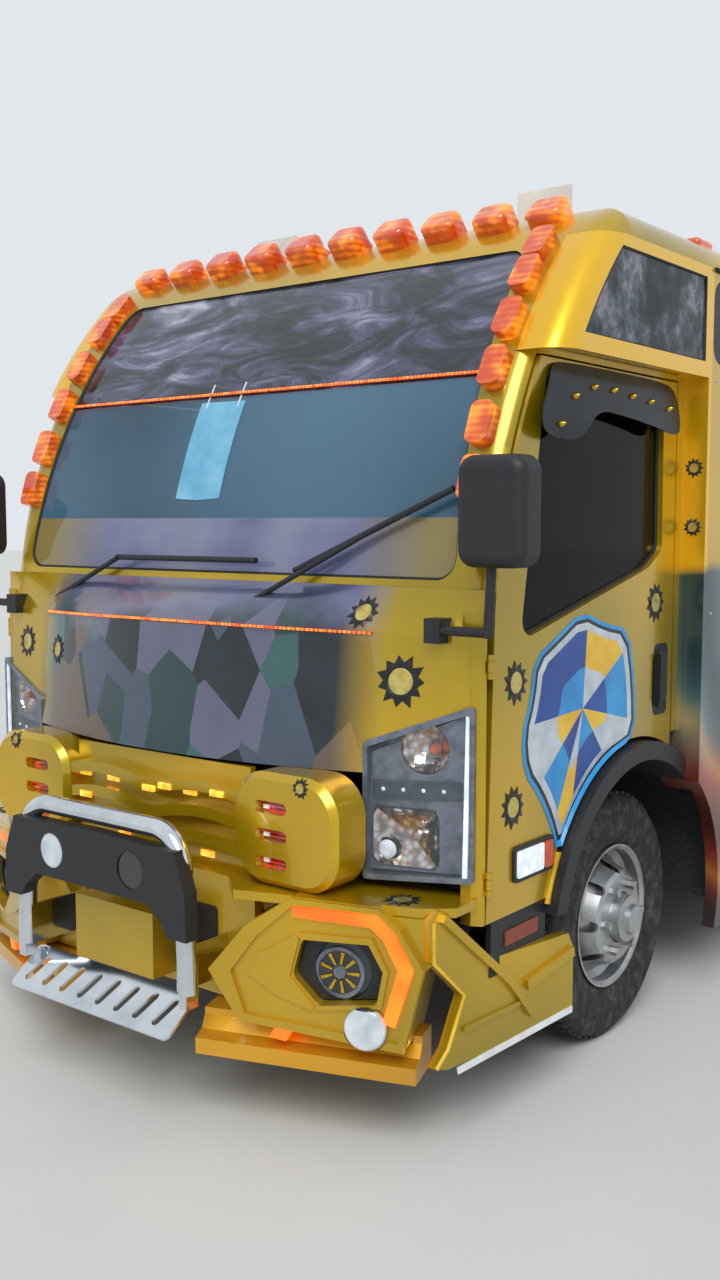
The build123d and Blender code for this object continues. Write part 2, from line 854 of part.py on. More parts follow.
def wheel(x, y, facing):
    """One pressed wheel whose disc bulges towards its facing side, 1 or -1."""
    inner_skin = [(r - rim_thickness, o) for r, o in reversed(rim_skin)]
    disc_back = [(r, o - disc_thickness) for r, o in reversed(disc_skin)]
    with BuildPart() as rim:
        add(spun(list(rim_skin) + inner_skin, x, y, facing))
        add(spun(list(disc_skin) + disc_back, x, y, facing))
        with Locations(Plane(origin=(x, y, axle_z), x_dir=(0, 1, 0), z_dir=(1, 0, 0))):
            with PolarLocations(161, hand_hole_count):
                Cylinder(19, 600, mode=Mode.SUBTRACT)
    return rim.part


def tyre(x, y):
    """One tyre, closed at the beads."""
    mirrored = [(r, -o) for r, o in reversed(tyre_skin)]
    return spun(list(tyre_skin) + mirrored, x, y, 1)


def nuts(x, y, length):
    """Ring of wheel nuts, standing out from a face at x."""
    with BuildPart() as ring:
        with BuildSketch(Plane(origin=(x, y, axle_z), x_dir=(0, 1, 0), z_dir=(1, 0, 0))):
            with PolarLocations(stud_circle_radius, stud_count):
                RegularPolygon(nut_radius, 6)
        extrude(amount=length)
    return ring.part


running_gap = 5
hub_bore = stub_root_radius + running_gap
bearing_bore = stub_tip_radius + pin_clearance
drum_x = stub_root_x + running_gap
hub_face_x = front_track_half + disc_offset
with BuildPart() as wheel_front_left:
    add(wheel(front_track_half, front_axle_y, 1))
    add(nuts(hub_face_x, front_axle_y, 24))
    drum = (
        (165, drum_x), (165, 885), (128, 925), (128, hub_face_x - disc_thickness),
        (hub_hole_radius, hub_face_x - disc_thickness), (78, hub_face_x), (74, 1000),
        (50, 1004), (46, 1022), (0, 1024), (0, stub_end_x + running_gap),
        (bearing_bore, stub_end_x + running_gap), (bearing_bore, stub_seat_x + running_gap),
        (hub_bore, stub_seat_x + running_gap), (hub_bore, 900), (110, 870), (152, 860),
        (152, drum_x),
    )
    add(spun([(r, x - front_track_half) for r, x in drum], front_track_half, front_axle_y, 1))
save(wheel_front_left.part, "wheel_front_left")
save(mirror(wheel_front_left.part, about=Plane.YZ), "wheel_front_right")
front_tyre = tyre(front_track_half, front_axle_y)
save(front_tyre, "tyre_front_left")
save(mirror(front_tyre, about=Plane.YZ), "tyre_front_right")

# Rear axle with twin wheels
housing_radius = 62
housing_end_x = 640
spindle_radius = 38
spindle_end_x = 905
rear_bore = spindle_radius + pin_clearance
outer_x = rear_track_half + twin_spacing / 2
inner_x = rear_track_half - twin_spacing / 2
with BuildPart() as rear_axle:
    add(bar((-housing_end_x, rear_axle_y, axle_z), (housing_end_x, rear_axle_y, axle_z),
            housing_radius))
    add(bar((-spindle_end_x, rear_axle_y, axle_z), (spindle_end_x, rear_axle_y, axle_z),
            spindle_radius))
    with BuildSketch(Plane.XZ.offset(-rear_axle_y - 105)):
        with Locations((0, axle_z)):
            Circle(185)
    extrude(amount=210)
    add(bar((0, rear_axle_y, axle_z), (0, rear_axle_y - 320, axle_z + 25), 70))
    for side in (1, -1):
        pad_x = side * rear_spring_x
        add(slab(pad_x - 35, pad_x + 35, rear_axle_y - 60, rear_axle_y + 60, axle_z, rear_seat_z))
        add(disc(side * housing_end_x - 4, side * housing_end_x + 4, rear_axle_y, axle_z, 168))
save(rear_axle.part, "rear_axle")

with BuildPart() as wheel_rear_left:
    add(wheel(outer_x, rear_axle_y, -1))
    add(wheel(inner_x, rear_axle_y, 1))
    add(nuts(rear_track_half + disc_thickness, rear_axle_y, 24))
    hub = (
        (165, housing_end_x + 9), (165, 770), (hub_hole_radius, 790), (78, 816), (78, 905),
        (62, 915), (62, 935), (0, 938), (0, spindle_end_x + running_gap),
        (rear_bore, spindle_end_x + running_gap), (rear_bore, 790),
        (60, 760), (152, 750), (152, housing_end_x + 9),
    )
    add(spun([(r, x - outer_x) for r, x in hub], outer_x, rear_axle_y, 1))
    add(disc(rear_track_half - disc_thickness, rear_track_half + disc_thickness, rear_axle_y,
             axle_z, 90))
    add(disc(600, spindle_end_x, rear_axle_y, axle_z, rear_bore), mode=Mode.SUBTRACT)
save(wheel_rear_left.part, "wheel_rear_left")
save(mirror(wheel_rear_left.part, about=Plane.YZ), "wheel_rear_right")
with BuildPart() as tyres_rear_left:
    add(tyre(outer_x, rear_axle_y))
    add(tyre(inner_x, rear_axle_y))
save(tyres_rear_left.part, "tyres_rear_left")
save(mirror(tyres_rear_left.part, about=Plane.YZ), "tyres_rear_right")

# Floor, cross bearers, engine cover and entry steps
floor_foot_z = floor_z - floor_thickness
engine_half = 290
cover_half = 340
cover_front_y = at(-540)
cover_rear_y = coach_front_y
cover_top_z = 1190
cover_wall = 25
bearer_width = 60
rear_corner_cut = 42
boot_front_y = tail_y - boot_depth
boot_wall = 30
bearer_count = 8
bearer_pitch = 640
step_depth = 260
entry_step_zs = (370, 575, 792)
step_thickness = 30
saloon_half = body_half - wall - seat_gap
cab_floor_half = cab_half - door_thickness - shut_gap
step_front_y, step_rear_y = entry_front_y + 30, entry_rear_y - 30
step_outer_x = body_half - wall - shut_gap
step_inner_x = step_outer_x - len(entry_step_zs) * step_depth
step_foot_z = entry_step_zs[0] - step_thickness
panel_rear_y = boot_front_y - boot_wall
boot_rear_y = tail_y - wall - seat_gap
saloon_front_y = coach_front_y + wall
# Floor boards as (x0, x1, y0, y1), laid round the engine cover and the entry steps
floor_boards = (
    (-cab_floor_half, -cover_half, at(-870), saloon_front_y),
    (cover_half, cab_floor_half, at(-870), saloon_front_y),
    (-cover_half, cover_half, at(-870), cover_front_y),
    (-saloon_half, step_inner_x, saloon_front_y, panel_rear_y),
    (step_inner_x, saloon_half, saloon_front_y, step_front_y),
    (step_inner_x, saloon_half, step_rear_y, panel_rear_y),
)
with BuildPart() as boards:
    for x0, x1, y0, y1 in floor_boards:
        add(slab(x0 + seat_gap, x1 - seat_gap, y0 + seat_gap, y1 - seat_gap,
                 floor_foot_z, floor_z))
with BuildPart() as cover:
    add(slab(-cover_half, cover_half, cover_front_y, cover_rear_y, floor_foot_z, cover_top_z))
    add(slab(-cover_half + cover_wall, cover_half - cover_wall, cover_front_y + cover_wall,
             cover_rear_y - cover_wall, 0, cover_top_z - cover_wall), mode=Mode.SUBTRACT)
# Side plates of the step well as (x0, x1, foot Z): the inner one stops above the rail
well_plates = (
    (step_inner_x, rail_outer + 1, rail_top_z + 1),
    (rail_outer + 1 + seat_gap, step_outer_x, step_foot_z),
)
with BuildPart() as step_well:
    y0, y1 = step_front_y + 20 + seat_gap, step_rear_y - 20 - seat_gap
    for i, z in enumerate(entry_step_zs):
        x1 = step_outer_x - i * step_depth
        x0 = x1 - step_depth + 20
        top = entry_step_zs[i + 1] - step_thickness if i + 1 < len(entry_step_zs) else floor_z
        add(slab(x0 + seat_gap, x1, y0, y1, z - step_thickness, z))
        add(slab(x0 - 20 + seat_gap, x0, y0, y1, z - step_thickness, top - seat_gap))
    for y in (step_front_y, step_rear_y - 20):
        for x0, x1, foot_z in well_plates:
            add(slab(x0, x1, y, y + 20, foot_z, floor_z))
with BuildPart() as boot:
    bench_foot_z = bench_z - floor_thickness
    add(slab(-saloon_half, saloon_half, panel_rear_y, boot_rear_y, bench_foot_z, bench_z))
    add(slab(-saloon_half, saloon_half, panel_rear_y, boot_front_y,
             boot_foot_z + seat_gap, bench_foot_z - seat_gap))
    add(slab(-saloon_half, saloon_half, panel_rear_y, boot_rear_y, rail_top_z, boot_foot_z))
    with BuildSketch(Plane.XY.offset(rail_top_z - 1)):
        for side in (1, -1):
            with Locations((side * (saloon_half + 2), tail_y - wall + 2)):
                Rectangle(2 * rear_corner_cut, 2 * rear_corner_cut, rotation=45)
    extrude(amount=bench_z, mode=Mode.SUBTRACT)
with BuildPart() as bearers:
    for i in range(bearer_count):
        y0 = at(760) + i * bearer_pitch
        reach = saloon_half if abs(y0 + 30 - rear_axle_y) > arch_radius + 60 else 545
        add(slab(-reach, reach, y0, y0 + bearer_width, rail_top_z, floor_foot_z - seat_gap))
    add(slab(step_inner_x - seat_gap, 2000, step_front_y - 5, step_rear_y + 5, 0, floor_z),
        mode=Mode.SUBTRACT)

# Wheel housings and black arch flares round the front wheels
liner_thickness = floor_foot_z - arch_centre_z - arch_radius - seat_gap
liner_inner_x = 560
flare_x0 = 1000
flare_x1 = body_half - wall - 2


def arch_ring(x0, x1, inner, outer):
    """Half ring over the front wheel, cut off where the coach body begins."""
    with BuildPart() as ring:
        with BuildSketch(Plane.YZ.offset(x0)):
            with Locations((arch_centre_y, arch_centre_z)):
                Circle(outer)
                Circle(inner, mode=Mode.SUBTRACT)
        extrude(amount=x1 - x0)
        foot = 560
        add(slab(-2000, 2000, -5000, 5000, -1000, foot), mode=Mode.SUBTRACT)
        add(slab(-2000, 2000, coach_front_y - seat_gap, 5000, 0, 3000), mode=Mode.SUBTRACT)
    return ring.part


with BuildPart() as flares:
    add(arch_ring(flare_x0, flare_x1, arch_radius, flare_outer))
    add(arch_ring(liner_inner_x, flare_x0, arch_radius, arch_radius + liner_thickness))
save(both_sides(flares.part), "arch_flares")

# Steps under the cab doors
cab_step_z = 490
with BuildPart() as cab_step:
    add(slab(790, 950, at(-865), at(-545), cab_step_z - 25, cab_step_z))
    add(slab(790, 810, at(-865), at(-565), cab_step_z + seat_gap, floor_foot_z - seat_gap))
    add(slab(790, 950, at(-873), at(-865) - seat_gap, cab_step_z - 25, 601))
with BuildPart() as floor:
    add([boards.part, cover.part, step_well.part, boot.part, bearers.part])
    add(both_sides(cab_step.part))
save(floor.part, "floor")

# Engine, gearbox and propeller shaft
engine_foot_z = 480
engine_top_z = 1120
with BuildPart() as engine:
    add(slab(-engine_half, engine_half, at(-510), at(250), engine_foot_z, engine_top_z))
    fillet(engine.edges().filter_by(Axis.Y), 40)
    for y in (-330, 150):
        add(slab(-rail_inner, rail_inner, at(y), at(y + 90), 600, 660))

shaft_radius = 42
with BuildPart() as driveline:
    with BuildSketch(Plane.XZ.offset(-at(250))):
        with Locations((0, 660)):
            RectangleRounded(420, 400, 60)
    with BuildSketch(Plane.XZ.offset(-at(500))):
        with Locations((0, 630)):
            RectangleRounded(300, 300, 60)
    loft()
    with BuildSketch(Plane.XZ.offset(-at(500))):
        with Locations((0, 630)):
            RectangleRounded(260, 260, 50)
    extrude(amount=-480)
    add(slab(-150, 150, at(560), at(560) + cross_depth, rail_bottom_z, rail_top_z),
        mode=Mode.SUBTRACT)
with BuildPart() as engine_and_gearbox:
    add(engine.part)
    add(driveline.part)
save(engine_and_gearbox.part, "engine")

# Propeller shaft, exhaust and fuel tank
bearing_y = at(2200)
pinion_y = rear_axle_y - 325
with BuildPart() as propshaft:
    add(bar((0, at(980) + seat_gap, 630), (0, bearing_y, 600), shaft_radius))
    add(bar((0, bearing_y, 600), (0, pinion_y, axle_z + 26), shaft_radius))
    add(bar((0, bearing_y - 40, 600), (0, bearing_y + 40, 600), 75))
    add(slab(-rail_inner, rail_inner, bearing_y - 25, bearing_y + 25, 650, 700))
    add(slab(-300, 300, at(0), at(980) + seat_gap, 500, 800), mode=Mode.SUBTRACT)
save(propshaft.part, "propeller_shaft")

exhaust_x = -560
exhaust_z = 560
with BuildPart() as exhaust:
    add(bar((exhaust_x, at(1350), exhaust_z), (exhaust_x, at(2250), exhaust_z), 105))
    add(bar((exhaust_x, at(600), exhaust_z), (exhaust_x, at(1350), exhaust_z), 30))
    add(bar((exhaust_x, at(2250), exhaust_z), (exhaust_x, at(2900), exhaust_z), 30))
    add(bar((exhaust_x, at(2870), exhaust_z), (-1030, at(2870), 330), 30))
    for y in (1450, 2100):
        add(slab(exhaust_x, -rail_outer, at(y), at(y) + 40, exhaust_z + 60, exhaust_z + 90))
save(exhaust.part, "exhaust")

tank_x0 = 500
with BuildPart() as tank:
    add(slab(tank_x0, 960, at(1640), at(2540), 400, 745))
    fillet(tank.edges().filter_by(Axis.Y), 60)
    for y in (1760, 2380):
        add(slab(rail_outer, tank_x0 + 10, at(y), at(y) + 50, 590, 720))
save(tank.part, "fuel_tank")

# Saloon doors, boot lid and rear glass
entry_door_foot_z = entry_foot_z + 12
with BuildPart() as entry_door:
    x0 = body_half - wall
    add(slab(x0, body_half, entry_front_y + shut_gap, entry_rear_y - swing_gap,
             entry_door_foot_z, entry_top_z - shut_gap))
    entry_mid_y = (entry_front_y + entry_rear_y) / 2
    for z0, z1 in ((1180, 2020), (520, 1090)):
        add(pane(x0, wall, entry_front_y + 90, entry_rear_y - 90, z0, z1), mode=Mode.SUBTRACT)
    for place in entry_hinges:
        add(hinge_leaf(place, (0, 0, 1), (0, 1, 0), (1, 0, 0), 34, False))
save(entry_door.part, "entry_door")
with BuildPart() as entry_glass:
    x0 = body_half - glass_inset - glass_thickness
    for z0, z1 in ((1180, 2020), (520, 1090)):
        add(pane(x0, glass_thickness, entry_front_y + 90, entry_rear_y - 90, z0, z1, seat_gap))
save(entry_glass.part, "entry_door_glass")

with BuildPart() as exit_door:
    x0 = -body_half
    add(slab(x0, x0 + wall, exit_front_y + shut_gap, exit_rear_y - swing_gap,
             exit_foot_z + shut_gap, entry_top_z - shut_gap))
    add(pane(x0, wall, exit_front_y + 90, exit_rear_y - 90, sill_z, 2020), mode=Mode.SUBTRACT)
    for place in exit_hinges:
        add(hinge_leaf(place, (0, 0, 1), (0, 1, 0), (-1, 0, 0), 34, False))
save(exit_door.part, "emergency_door")
with BuildPart() as exit_glass:
    x0 = glass_inset - body_half
    add(pane(x0, glass_thickness, exit_front_y + 90, exit_rear_y - 90, sill_z, 2020, seat_gap))
save(exit_glass.part, "emergency_door_glass")

with BuildPart() as boot_lid:
    add(slab(shut_gap - boot_half, boot_half - shut_gap, tail_y - wall, tail_y,
             boot_foot_z + swing_gap, boot_top_z - shut_gap))
    with BuildSketch(Plane.XZ.offset(-tail_y)):
        with Locations((0, boot_foot_z + 110)):
            SlotOverall(200, 60)
    extrude(amount=20, mode=Mode.SUBTRACT)
    for place in boot_hinges:
        add(hinge_leaf(place, (1, 0, 0), (0, 0, -1), (0, 1, 0), 34, False))
save(boot_lid.part, "boot_lid")

with BuildPart() as rear_glass:
    with BuildSketch(Plane.XZ.offset(-tail_y + glass_inset)):
        with Locations((0, (sill_z + 30 + window_top_z + 120) / 2)):
            width = 2 * (rear_window_half - seat_gap)
            height = window_top_z + 90 - sill_z - 2 * seat_gap
            RectangleRounded(width, height, 90 - seat_gap)
    extrude(amount=glass_thickness)
with BuildPart() as saloon_glass:
    add(side_glass_left.part)
    add(side_glass_right.part)
    add(rear_glass.part)
save(saloon_glass.part, "saloon_glass")

# Posts between headlamps and cab doors, which carry the doors' hinges
post_inner_x = 950
post_front_y = nose_rear_y - 26
post_foot_z = door_foot[0][1]
post_top_z = 1440
with BuildPart() as hinge_post:
    with BuildSketch(Plane.XY.offset(post_foot_z)):
        with BuildLine():
            Polyline(
                (post_inner_x, post_front_y), (cab_half - 28, post_front_y),
                (cab_half, nose_rear_y - 9), (cab_half, nose_rear_y),
                (post_inner_x, nose_rear_y), close=True,
            )
        make_face()
    extrude(amount=post_top_z - post_foot_z)
    for place in door_hinges:
        add(hinge_leaf(place, (0, 0, 1), (0, -1, 0), (1, 0, 0), 14, True))

# Front bumper: fog lamp pods on either side, shelf and centre panel
pod_angle = 19.3
pod_origin = (340, at(-1290), 0)
pod_depth = 150
pod_rim = ((40, 465), (150, 597), (285, 687), (530, 682), (590, 628), (655, 527), (600, 300), (130, 330))
pod_hole = ((286, 473), (313, 577), (503, 582), (542, 511), (525, 421), (358, 400))
pod_hole_depth = 110


def angled_plane(origin, angle, inset=0):
    """Upright plane that faces forward and out, its x running outwards."""
    turn = radians(angle)
    normal = Vector(sin(turn), -cos(turn), 0)
    return Plane(
        origin=Vector(*origin) - normal * inset,
        x_dir=(cos(turn), sin(turn), 0),
        z_dir=normal,
    )


def angled_block(origin, angle, points, depth, radius=0, inset=0):
    """Polygon on an angled upright plane, extruded towards the vehicle."""
    with BuildPart() as block:
        with BuildSketch(angled_plane(origin, angle, inset)) as face:
            with BuildLine():
                Polyline(*points, close=True)
            make_face()
            if radius:
                fillet(face.vertices(), radius)
        extrude(amount=-depth)
    return block.part


shelf_z = 682
shelf_thickness = 25
centre_panel_y = at(-1150)
bumper_foot_z = 330
with BuildPart() as bumper_half:
    add(angled_block(pod_origin, pod_angle, pod_rim, pod_depth, 22))
    add(angled_block(pod_origin, pod_angle, pod_hole, pod_hole_depth, 30), mode=Mode.SUBTRACT)
    with BuildSketch(Plane.XY.offset(shelf_z - shelf_thickness)):
        with BuildLine():
            Polyline(
                (0, centre_panel_y), (330, centre_panel_y), (430, at(-1235)), (930, at(-1060)),
                (1000, at(-1000)), (1000, post_front_y - seat_gap),
                (post_inner_x - seat_gap, post_front_y - seat_gap),
                (post_inner_x - seat_gap, nose_rear_y - seat_gap), (480, nose_rear_y - seat_gap),
                (480, rail_front_y - 5), (0, rail_front_y - 5),
                close=True,
            )
        make_face()
    extrude(amount=shelf_thickness)
    add(slab(0, 430, centre_panel_y, centre_panel_y + 30, bumper_foot_z, shelf_z))
    add(slab(0, 168, at(-1291), centre_panel_y + 1, 385, 575))
    add(slab(rail_inner, rail_outer, centre_panel_y + 29, rail_front_y - seat_gap, 580, 650))
save(both_sides(bumper_half.part), "front_bumper")

# Lower lip under the pods
lip_width = (-5, 628)
with BuildPart() as lip:
    turn = radians(pod_angle)
    start = Vector(*pod_origin) + Vector(cos(turn), sin(turn), 0) * lip_width[0]
    across = Plane(origin=start, x_dir=(-sin(turn), cos(turn), 0), z_dir=(cos(turn), sin(turn), 0))
    with BuildSketch(across):
        with BuildLine():
            Polyline((0, 215), (0, 260), (40, 272), (62, 305), (62, 325), (150, 325), (150, 235),
                     (120, 215), close=True)
        make_face()
    extrude(amount=lip_width[1] - lip_width[0])
    add(angled_block(pod_origin, pod_angle, pod_rim, pod_depth + 1, 0), mode=Mode.SUBTRACT)

# Side skirts behind the bumper, below the cab steps
skirt_origin = (975, at(-1068), 0)
skirt_angle = 84
skirt_points = (
    (0, 548), (0, 655), (30, 678), (192, 540), (257, 500), (600, 486), (626, 440), (626, 246),
    (66, 246), (12, 262), (59, 302), (123, 432),
)
# Raised folds of the skirt as (start, end, width, height)
skirt_folds = (
    ((34, 660), (192, 526), 22, 14), ((192, 526), (316, 421), 22, 14), ((316, 421), (418, 300), 22, 14),
    ((394, 389), (616, 431), 30, 12), ((120, 340), (404, 345), 14, 8),
)
with BuildPart() as skirt:
    add(angled_block(skirt_origin, skirt_angle, skirt_points, 30))
    for start, end, width, height in skirt_folds:
        along = Vector(*end) - Vector(*start)
        aside = Vector(-along.Y, along.X).normalized() * width / 2
        corners = [Vector(*start) - aside, Vector(*end) - aside,
                   Vector(*end) + aside, Vector(*start) + aside]
        corners = [(corner.X, corner.Y) for corner in corners]
        add(angled_block(skirt_origin, skirt_angle, corners, height + 5, inset=-height))
    add(bumper_half.part, mode=Mode.SUBTRACT)
with BuildPart() as lip_and_skirts:
    add(both_sides(lip.part))
    add(both_sides(skirt.part))
save(lip_and_skirts.part, "lip_and_skirts")

# Bull bar: bright tube, black moulded panel and its two spot lamps
bar_y = at(-1330)
bar_tube_radius = 28
with BuildPart() as bull_bar:
    with BuildLine() as bar_path:
        hoop = FilletPolyline(
            (-350, bar_y, 400), (-330, bar_y, 842), (330, bar_y, 842), (350, bar_y, 400),
            radius=105,
        )
    with BuildSketch(Plane(origin=hoop @ 0, z_dir=hoop % 0)):
        Circle(bar_tube_radius)
    sweep(path=bar_path.wires()[0])
    for side in (1, -1):
        add(slab(side * 316, side * 328, bar_y - 10, centre_panel_y - seat_gap, 400, 520))

panel_points = (
    (0, 640), (240, 640), (290, 600), (318, 560), (392, 560), (388, 690), (345, 800), (0, 806),
)
lamp_x = 171
lamp_z = 720
lamp_radius = 52
lamp_bezel = 8
with BuildPart() as bar_panel:
    with BuildSketch(Plane.XZ.offset(-bar_y)):
        with BuildLine():
            Polyline(*panel_points, close=True)
        make_face()
        mirror(about=Plane.YZ)
    extrude(amount=46)
    with BuildSketch(Plane.XZ.offset(-bar_y)):
        with Locations((lamp_x, lamp_z), (-lamp_x, lamp_z)):
            Circle(lamp_radius)
    extrude(amount=200, both=True, mode=Mode.SUBTRACT)
    add(bull_bar.part, mode=Mode.SUBTRACT)
save(bar_panel.part, "bar_panel")

# Footboard: bright ribbed plate on the foot of the bull bar
footboard_half = 342
footboard_nose_y = at(-nose_reach)
footboard_tip_z = 284
footboard_back = (bar_y + 40, 376)
footboard_thickness = 8
footboard_slots = 8
rise = footboard_back[1] - footboard_tip_z
run = footboard_back[0] - footboard_nose_y
board_length = sqrt(rise**2 + run**2)
board_lead = footboard_thickness * rise / board_length
board_plane = Plane(
    origin=(0, footboard_nose_y + board_lead, footboard_tip_z), x_dir=(1, 0, 0),
    z_dir=(0, -rise, run),
)
with BuildPart() as footboard:
    with BuildSketch(board_plane):
        with Locations((0, board_length / 2)):
            RectangleRounded(2 * footboard_half, board_length, 20)
            with GridLocations(2 * footboard_half / (footboard_slots + 0.6), 1, footboard_slots, 1):
                SlotOverall(board_length - 55, 26, rotation=72, mode=Mode.SUBTRACT)
    extrude(amount=footboard_thickness)
    for side in (1, -1):
        add(slab(side * 335, side * 365, bar_y - 22, bar_y + 22, 360, 402))
with BuildPart() as bar_and_board:
    add(bull_bar.part)
    add(footboard.part)
save(bar_and_board.part, "bull_bar")

# Grille slats between two round cheeks with slots for the red lamps
cheek_size = (372, 312)
cheek_foot_z = pod_rim[2][1] + seat_gap
cheek_centre = (545, cheek_foot_z + cheek_size[1] / 2)
cheek_y = at(-1165)
cheek_depth = 130
slot_zs = (905, 828, 751)
slot_size = (112, 34)
with BuildPart() as cheek:
    with BuildSketch(Plane.XZ.offset(-cheek_y)):
        with Locations(cheek_centre):
            RectangleRounded(*cheek_size, 110)
    extrude(amount=-cheek_depth)
    chamfer(cheek.faces().sort_by(Axis.Y)[0].edges(), 18)
    with BuildSketch(Plane.XZ.offset(-cheek_y)):
        for z in slot_zs:
            with Locations((505, z)):
                RectangleRounded(*slot_size, 14)
    extrude(amount=-60, mode=Mode.SUBTRACT)
with BuildPart() as slot_lamp:
    with BuildSketch(Plane.XZ.offset(-cheek_y - 28)):
        for z in slot_zs:
            with Locations((505, z)):
                RectangleRounded(slot_size[0] - 2 * seat_gap, slot_size[1] - 2 * seat_gap, 14)
    extrude(amount=-31.7)

slat_zs = (925, 850, 775)
slat_height = 34
slat_wave = 16
with BuildPart() as grille:
    for z in slat_zs:
        with BuildSketch(Plane.XZ.offset(-cheek_y - 20)):
            with BuildLine():
                rim = ThreePointArc((-370, z), (-200, z + slat_wave), (-70, z))
                dip = ThreePointArc(rim @ 1, (0, z - slat_wave / 2), (70, z))
                crest = ThreePointArc(dip @ 1, (200, z + slat_wave), (370, z))
                Polyline(crest @ 1, (370, z - slat_height))
                under = ThreePointArc((370, z - slat_height), (200, z + slat_wave - slat_height),
                                      (70, z - slat_height))
                ThreePointArc(under @ 1, (0, z - slat_wave / 2 - slat_height),
                              (-70, z - slat_height))
                ThreePointArc((-70, z - slat_height), (-200, z + slat_wave - slat_height),
                              (-370, z - slat_height))
                Line((-370, z - slat_height), (-370, z))
            make_face()
        extrude(amount=-45)
    add(slab(-372, 372, cheek_y + 64, cheek_y + 84, shelf_z + seat_gap, 990))
    add(both_sides(cheek.part))
save(grille.part, "grille")

# Headlamps: open housing with bowls, and a clear cover
lamp_origin = (692, at(-1000), 0)
lamp_angle = 14.5
lamp_rim = ((0, 706), (0, 1085), (318, 1200), (318, 725))
lamp_inner = ((14, 722), (14, 1072), (304, 1176), (304, 740))
lamp_depth = 115
cover_thickness = 5
with BuildPart() as cab_front:
    add(nose_block(0))
    add(nose_block(nose_wall), mode=Mode.SUBTRACT)
    lamp_hole = angled_block(lamp_origin, lamp_angle, lamp_rim, 400, 12, inset=-100)
    add(lamp_hole, mode=Mode.SUBTRACT)
    add(mirror(lamp_hole, about=Plane.YZ), mode=Mode.SUBTRACT)
    add(both_sides(hinge_post.part))
save(cab_front.part, "cab_front")

with BuildPart() as lamp_housing:
    add(angled_block(lamp_origin, lamp_angle, lamp_rim, lamp_depth, 12))
    add(angled_block(lamp_origin, lamp_angle, lamp_inner, 70, 8), mode=Mode.SUBTRACT)
    add(slab(-2000, 2000, post_front_y - seat_gap, 0, 0, 3000), mode=Mode.SUBTRACT)
    with BuildSketch(angled_plane(lamp_origin, lamp_angle, 70)):
        with Locations((155, 835)):
            Circle(88)
        with Locations((205, 1035)):
            Circle(72)
    extrude(amount=-35, mode=Mode.SUBTRACT)
save(both_sides(lamp_housing.part), "headlamp_housings")
with BuildPart() as lamp_cover:
    with BuildSketch(angled_plane(lamp_origin, lamp_angle, 4)) as cover_face:
        with BuildLine():
            Polyline(*lamp_inner, close=True)
        make_face()
        fillet(cover_face.vertices(), 8)
        offset(amount=-seat_gap)
    extrude(amount=-cover_thickness)
save(both_sides(lamp_cover.part), "headlamp_covers")

# Spot lamps in the bar panel, fog lamps in the pods and the white side lamp
with BuildPart() as front_lamps:
    for x in (lamp_x, -lamp_x):
        with BuildSketch(Plane.XZ.offset(-bar_y + 2)):
            with Locations((x, lamp_z)):
                Circle(lamp_radius - seat_gap)
        extrude(amount=40)
fog_centre = (418, 492)
disc_centre = (495, 357)
with BuildPart() as fog_lamp:
    with BuildSketch(angled_plane(pod_origin, pod_angle, pod_hole_depth - seat_gap)):
        with Locations(fog_centre):
            Circle(78)
    extrude(amount=70)
    with BuildSketch(angled_plane(pod_origin, pod_angle, -seat_gap)):
        with Locations(disc_centre):
            Circle(58)
    extrude(amount=26)
    fillet(fog_lamp.faces().sort_by(Axis.Y)[0].edges(), 10)
with BuildPart() as all_lamps:
    add(front_lamps.part)
    add(fog_lamp.part)
    mirror(fog_lamp.part, about=Plane.YZ)
save(all_lamps.part, "fog_and_spot_lamps")

# Amber light band round the outer side of each pod
band_outer = ((296, 662), (525, 660), (572, 618), (622, 525), (572, 372), (552, 378), (596, 522),
              (552, 602), (516, 638), (296, 642))
with BuildPart() as band:
    add(angled_block(pod_origin, pod_angle, band_outer, 9, 0, inset=-9 - seat_gap))

# Amber marker lamps along the roof edge, down the pillars and on the sides
roof_lamp_count = 10
roof_lamp_half_span = 853
side_lamp_count = 4
pillar_lamp_zs = (1785, 1930, 2083, 2223, 2355, 2450)
lamp_block = (120, 100, 62)


def marker(x, y, z, size, pitch):
    """Domed marker lamp with its foot in the skin at a point."""
    width, length, height = size
    root = 40
    normal = Vector(0, -sin(pitch), cos(pitch))
    foot = Vector(x, y, z) - normal * root
    with BuildPart() as lamp:
        with BuildSketch(Plane(origin=foot, x_dir=(1, 0, 0), z_dir=normal)):
            RectangleRounded(width, length, min(width, length) * 0.3)
        extrude(amount=height + root)
        fillet(lamp.faces().sort_by(Axis(foot, normal))[-1].edges(), 18)
        add(hull, mode=Mode.SUBTRACT)
    return lamp.part


def crown_drop(x):
    """How far the roof's crown lies below its middle at a distance aside."""
    shoulder_x = body_half - shoulder_inset
    sag = crown_z - shoulder_z
    radius = (shoulder_x**2 + sag**2) / (2 * sag)
    return radius - sqrt(radius**2 - x**2)


with BuildPart() as roof_lamps:
    for i in range(roof_lamp_count):
        x = roof_lamp_half_span * (2 * i / (roof_lamp_count - 1) - 1)
        add(marker(x, at(-300), 2575 - crown_drop(x), lamp_block, 0.72))
        if abs(x) < 800:
            add(marker(x + 60, at(-120), crown_z - crown_drop(x) - 6, (110, 110, 52), 0))
    for side in (1, -1):
        for i in range(side_lamp_count):
            y = at(372) + i * (tail_y - 522 - at(372)) / (side_lamp_count - 1)
            add(marker(side * (body_half - 80), y, 2566, (60, 120, 32), 0))

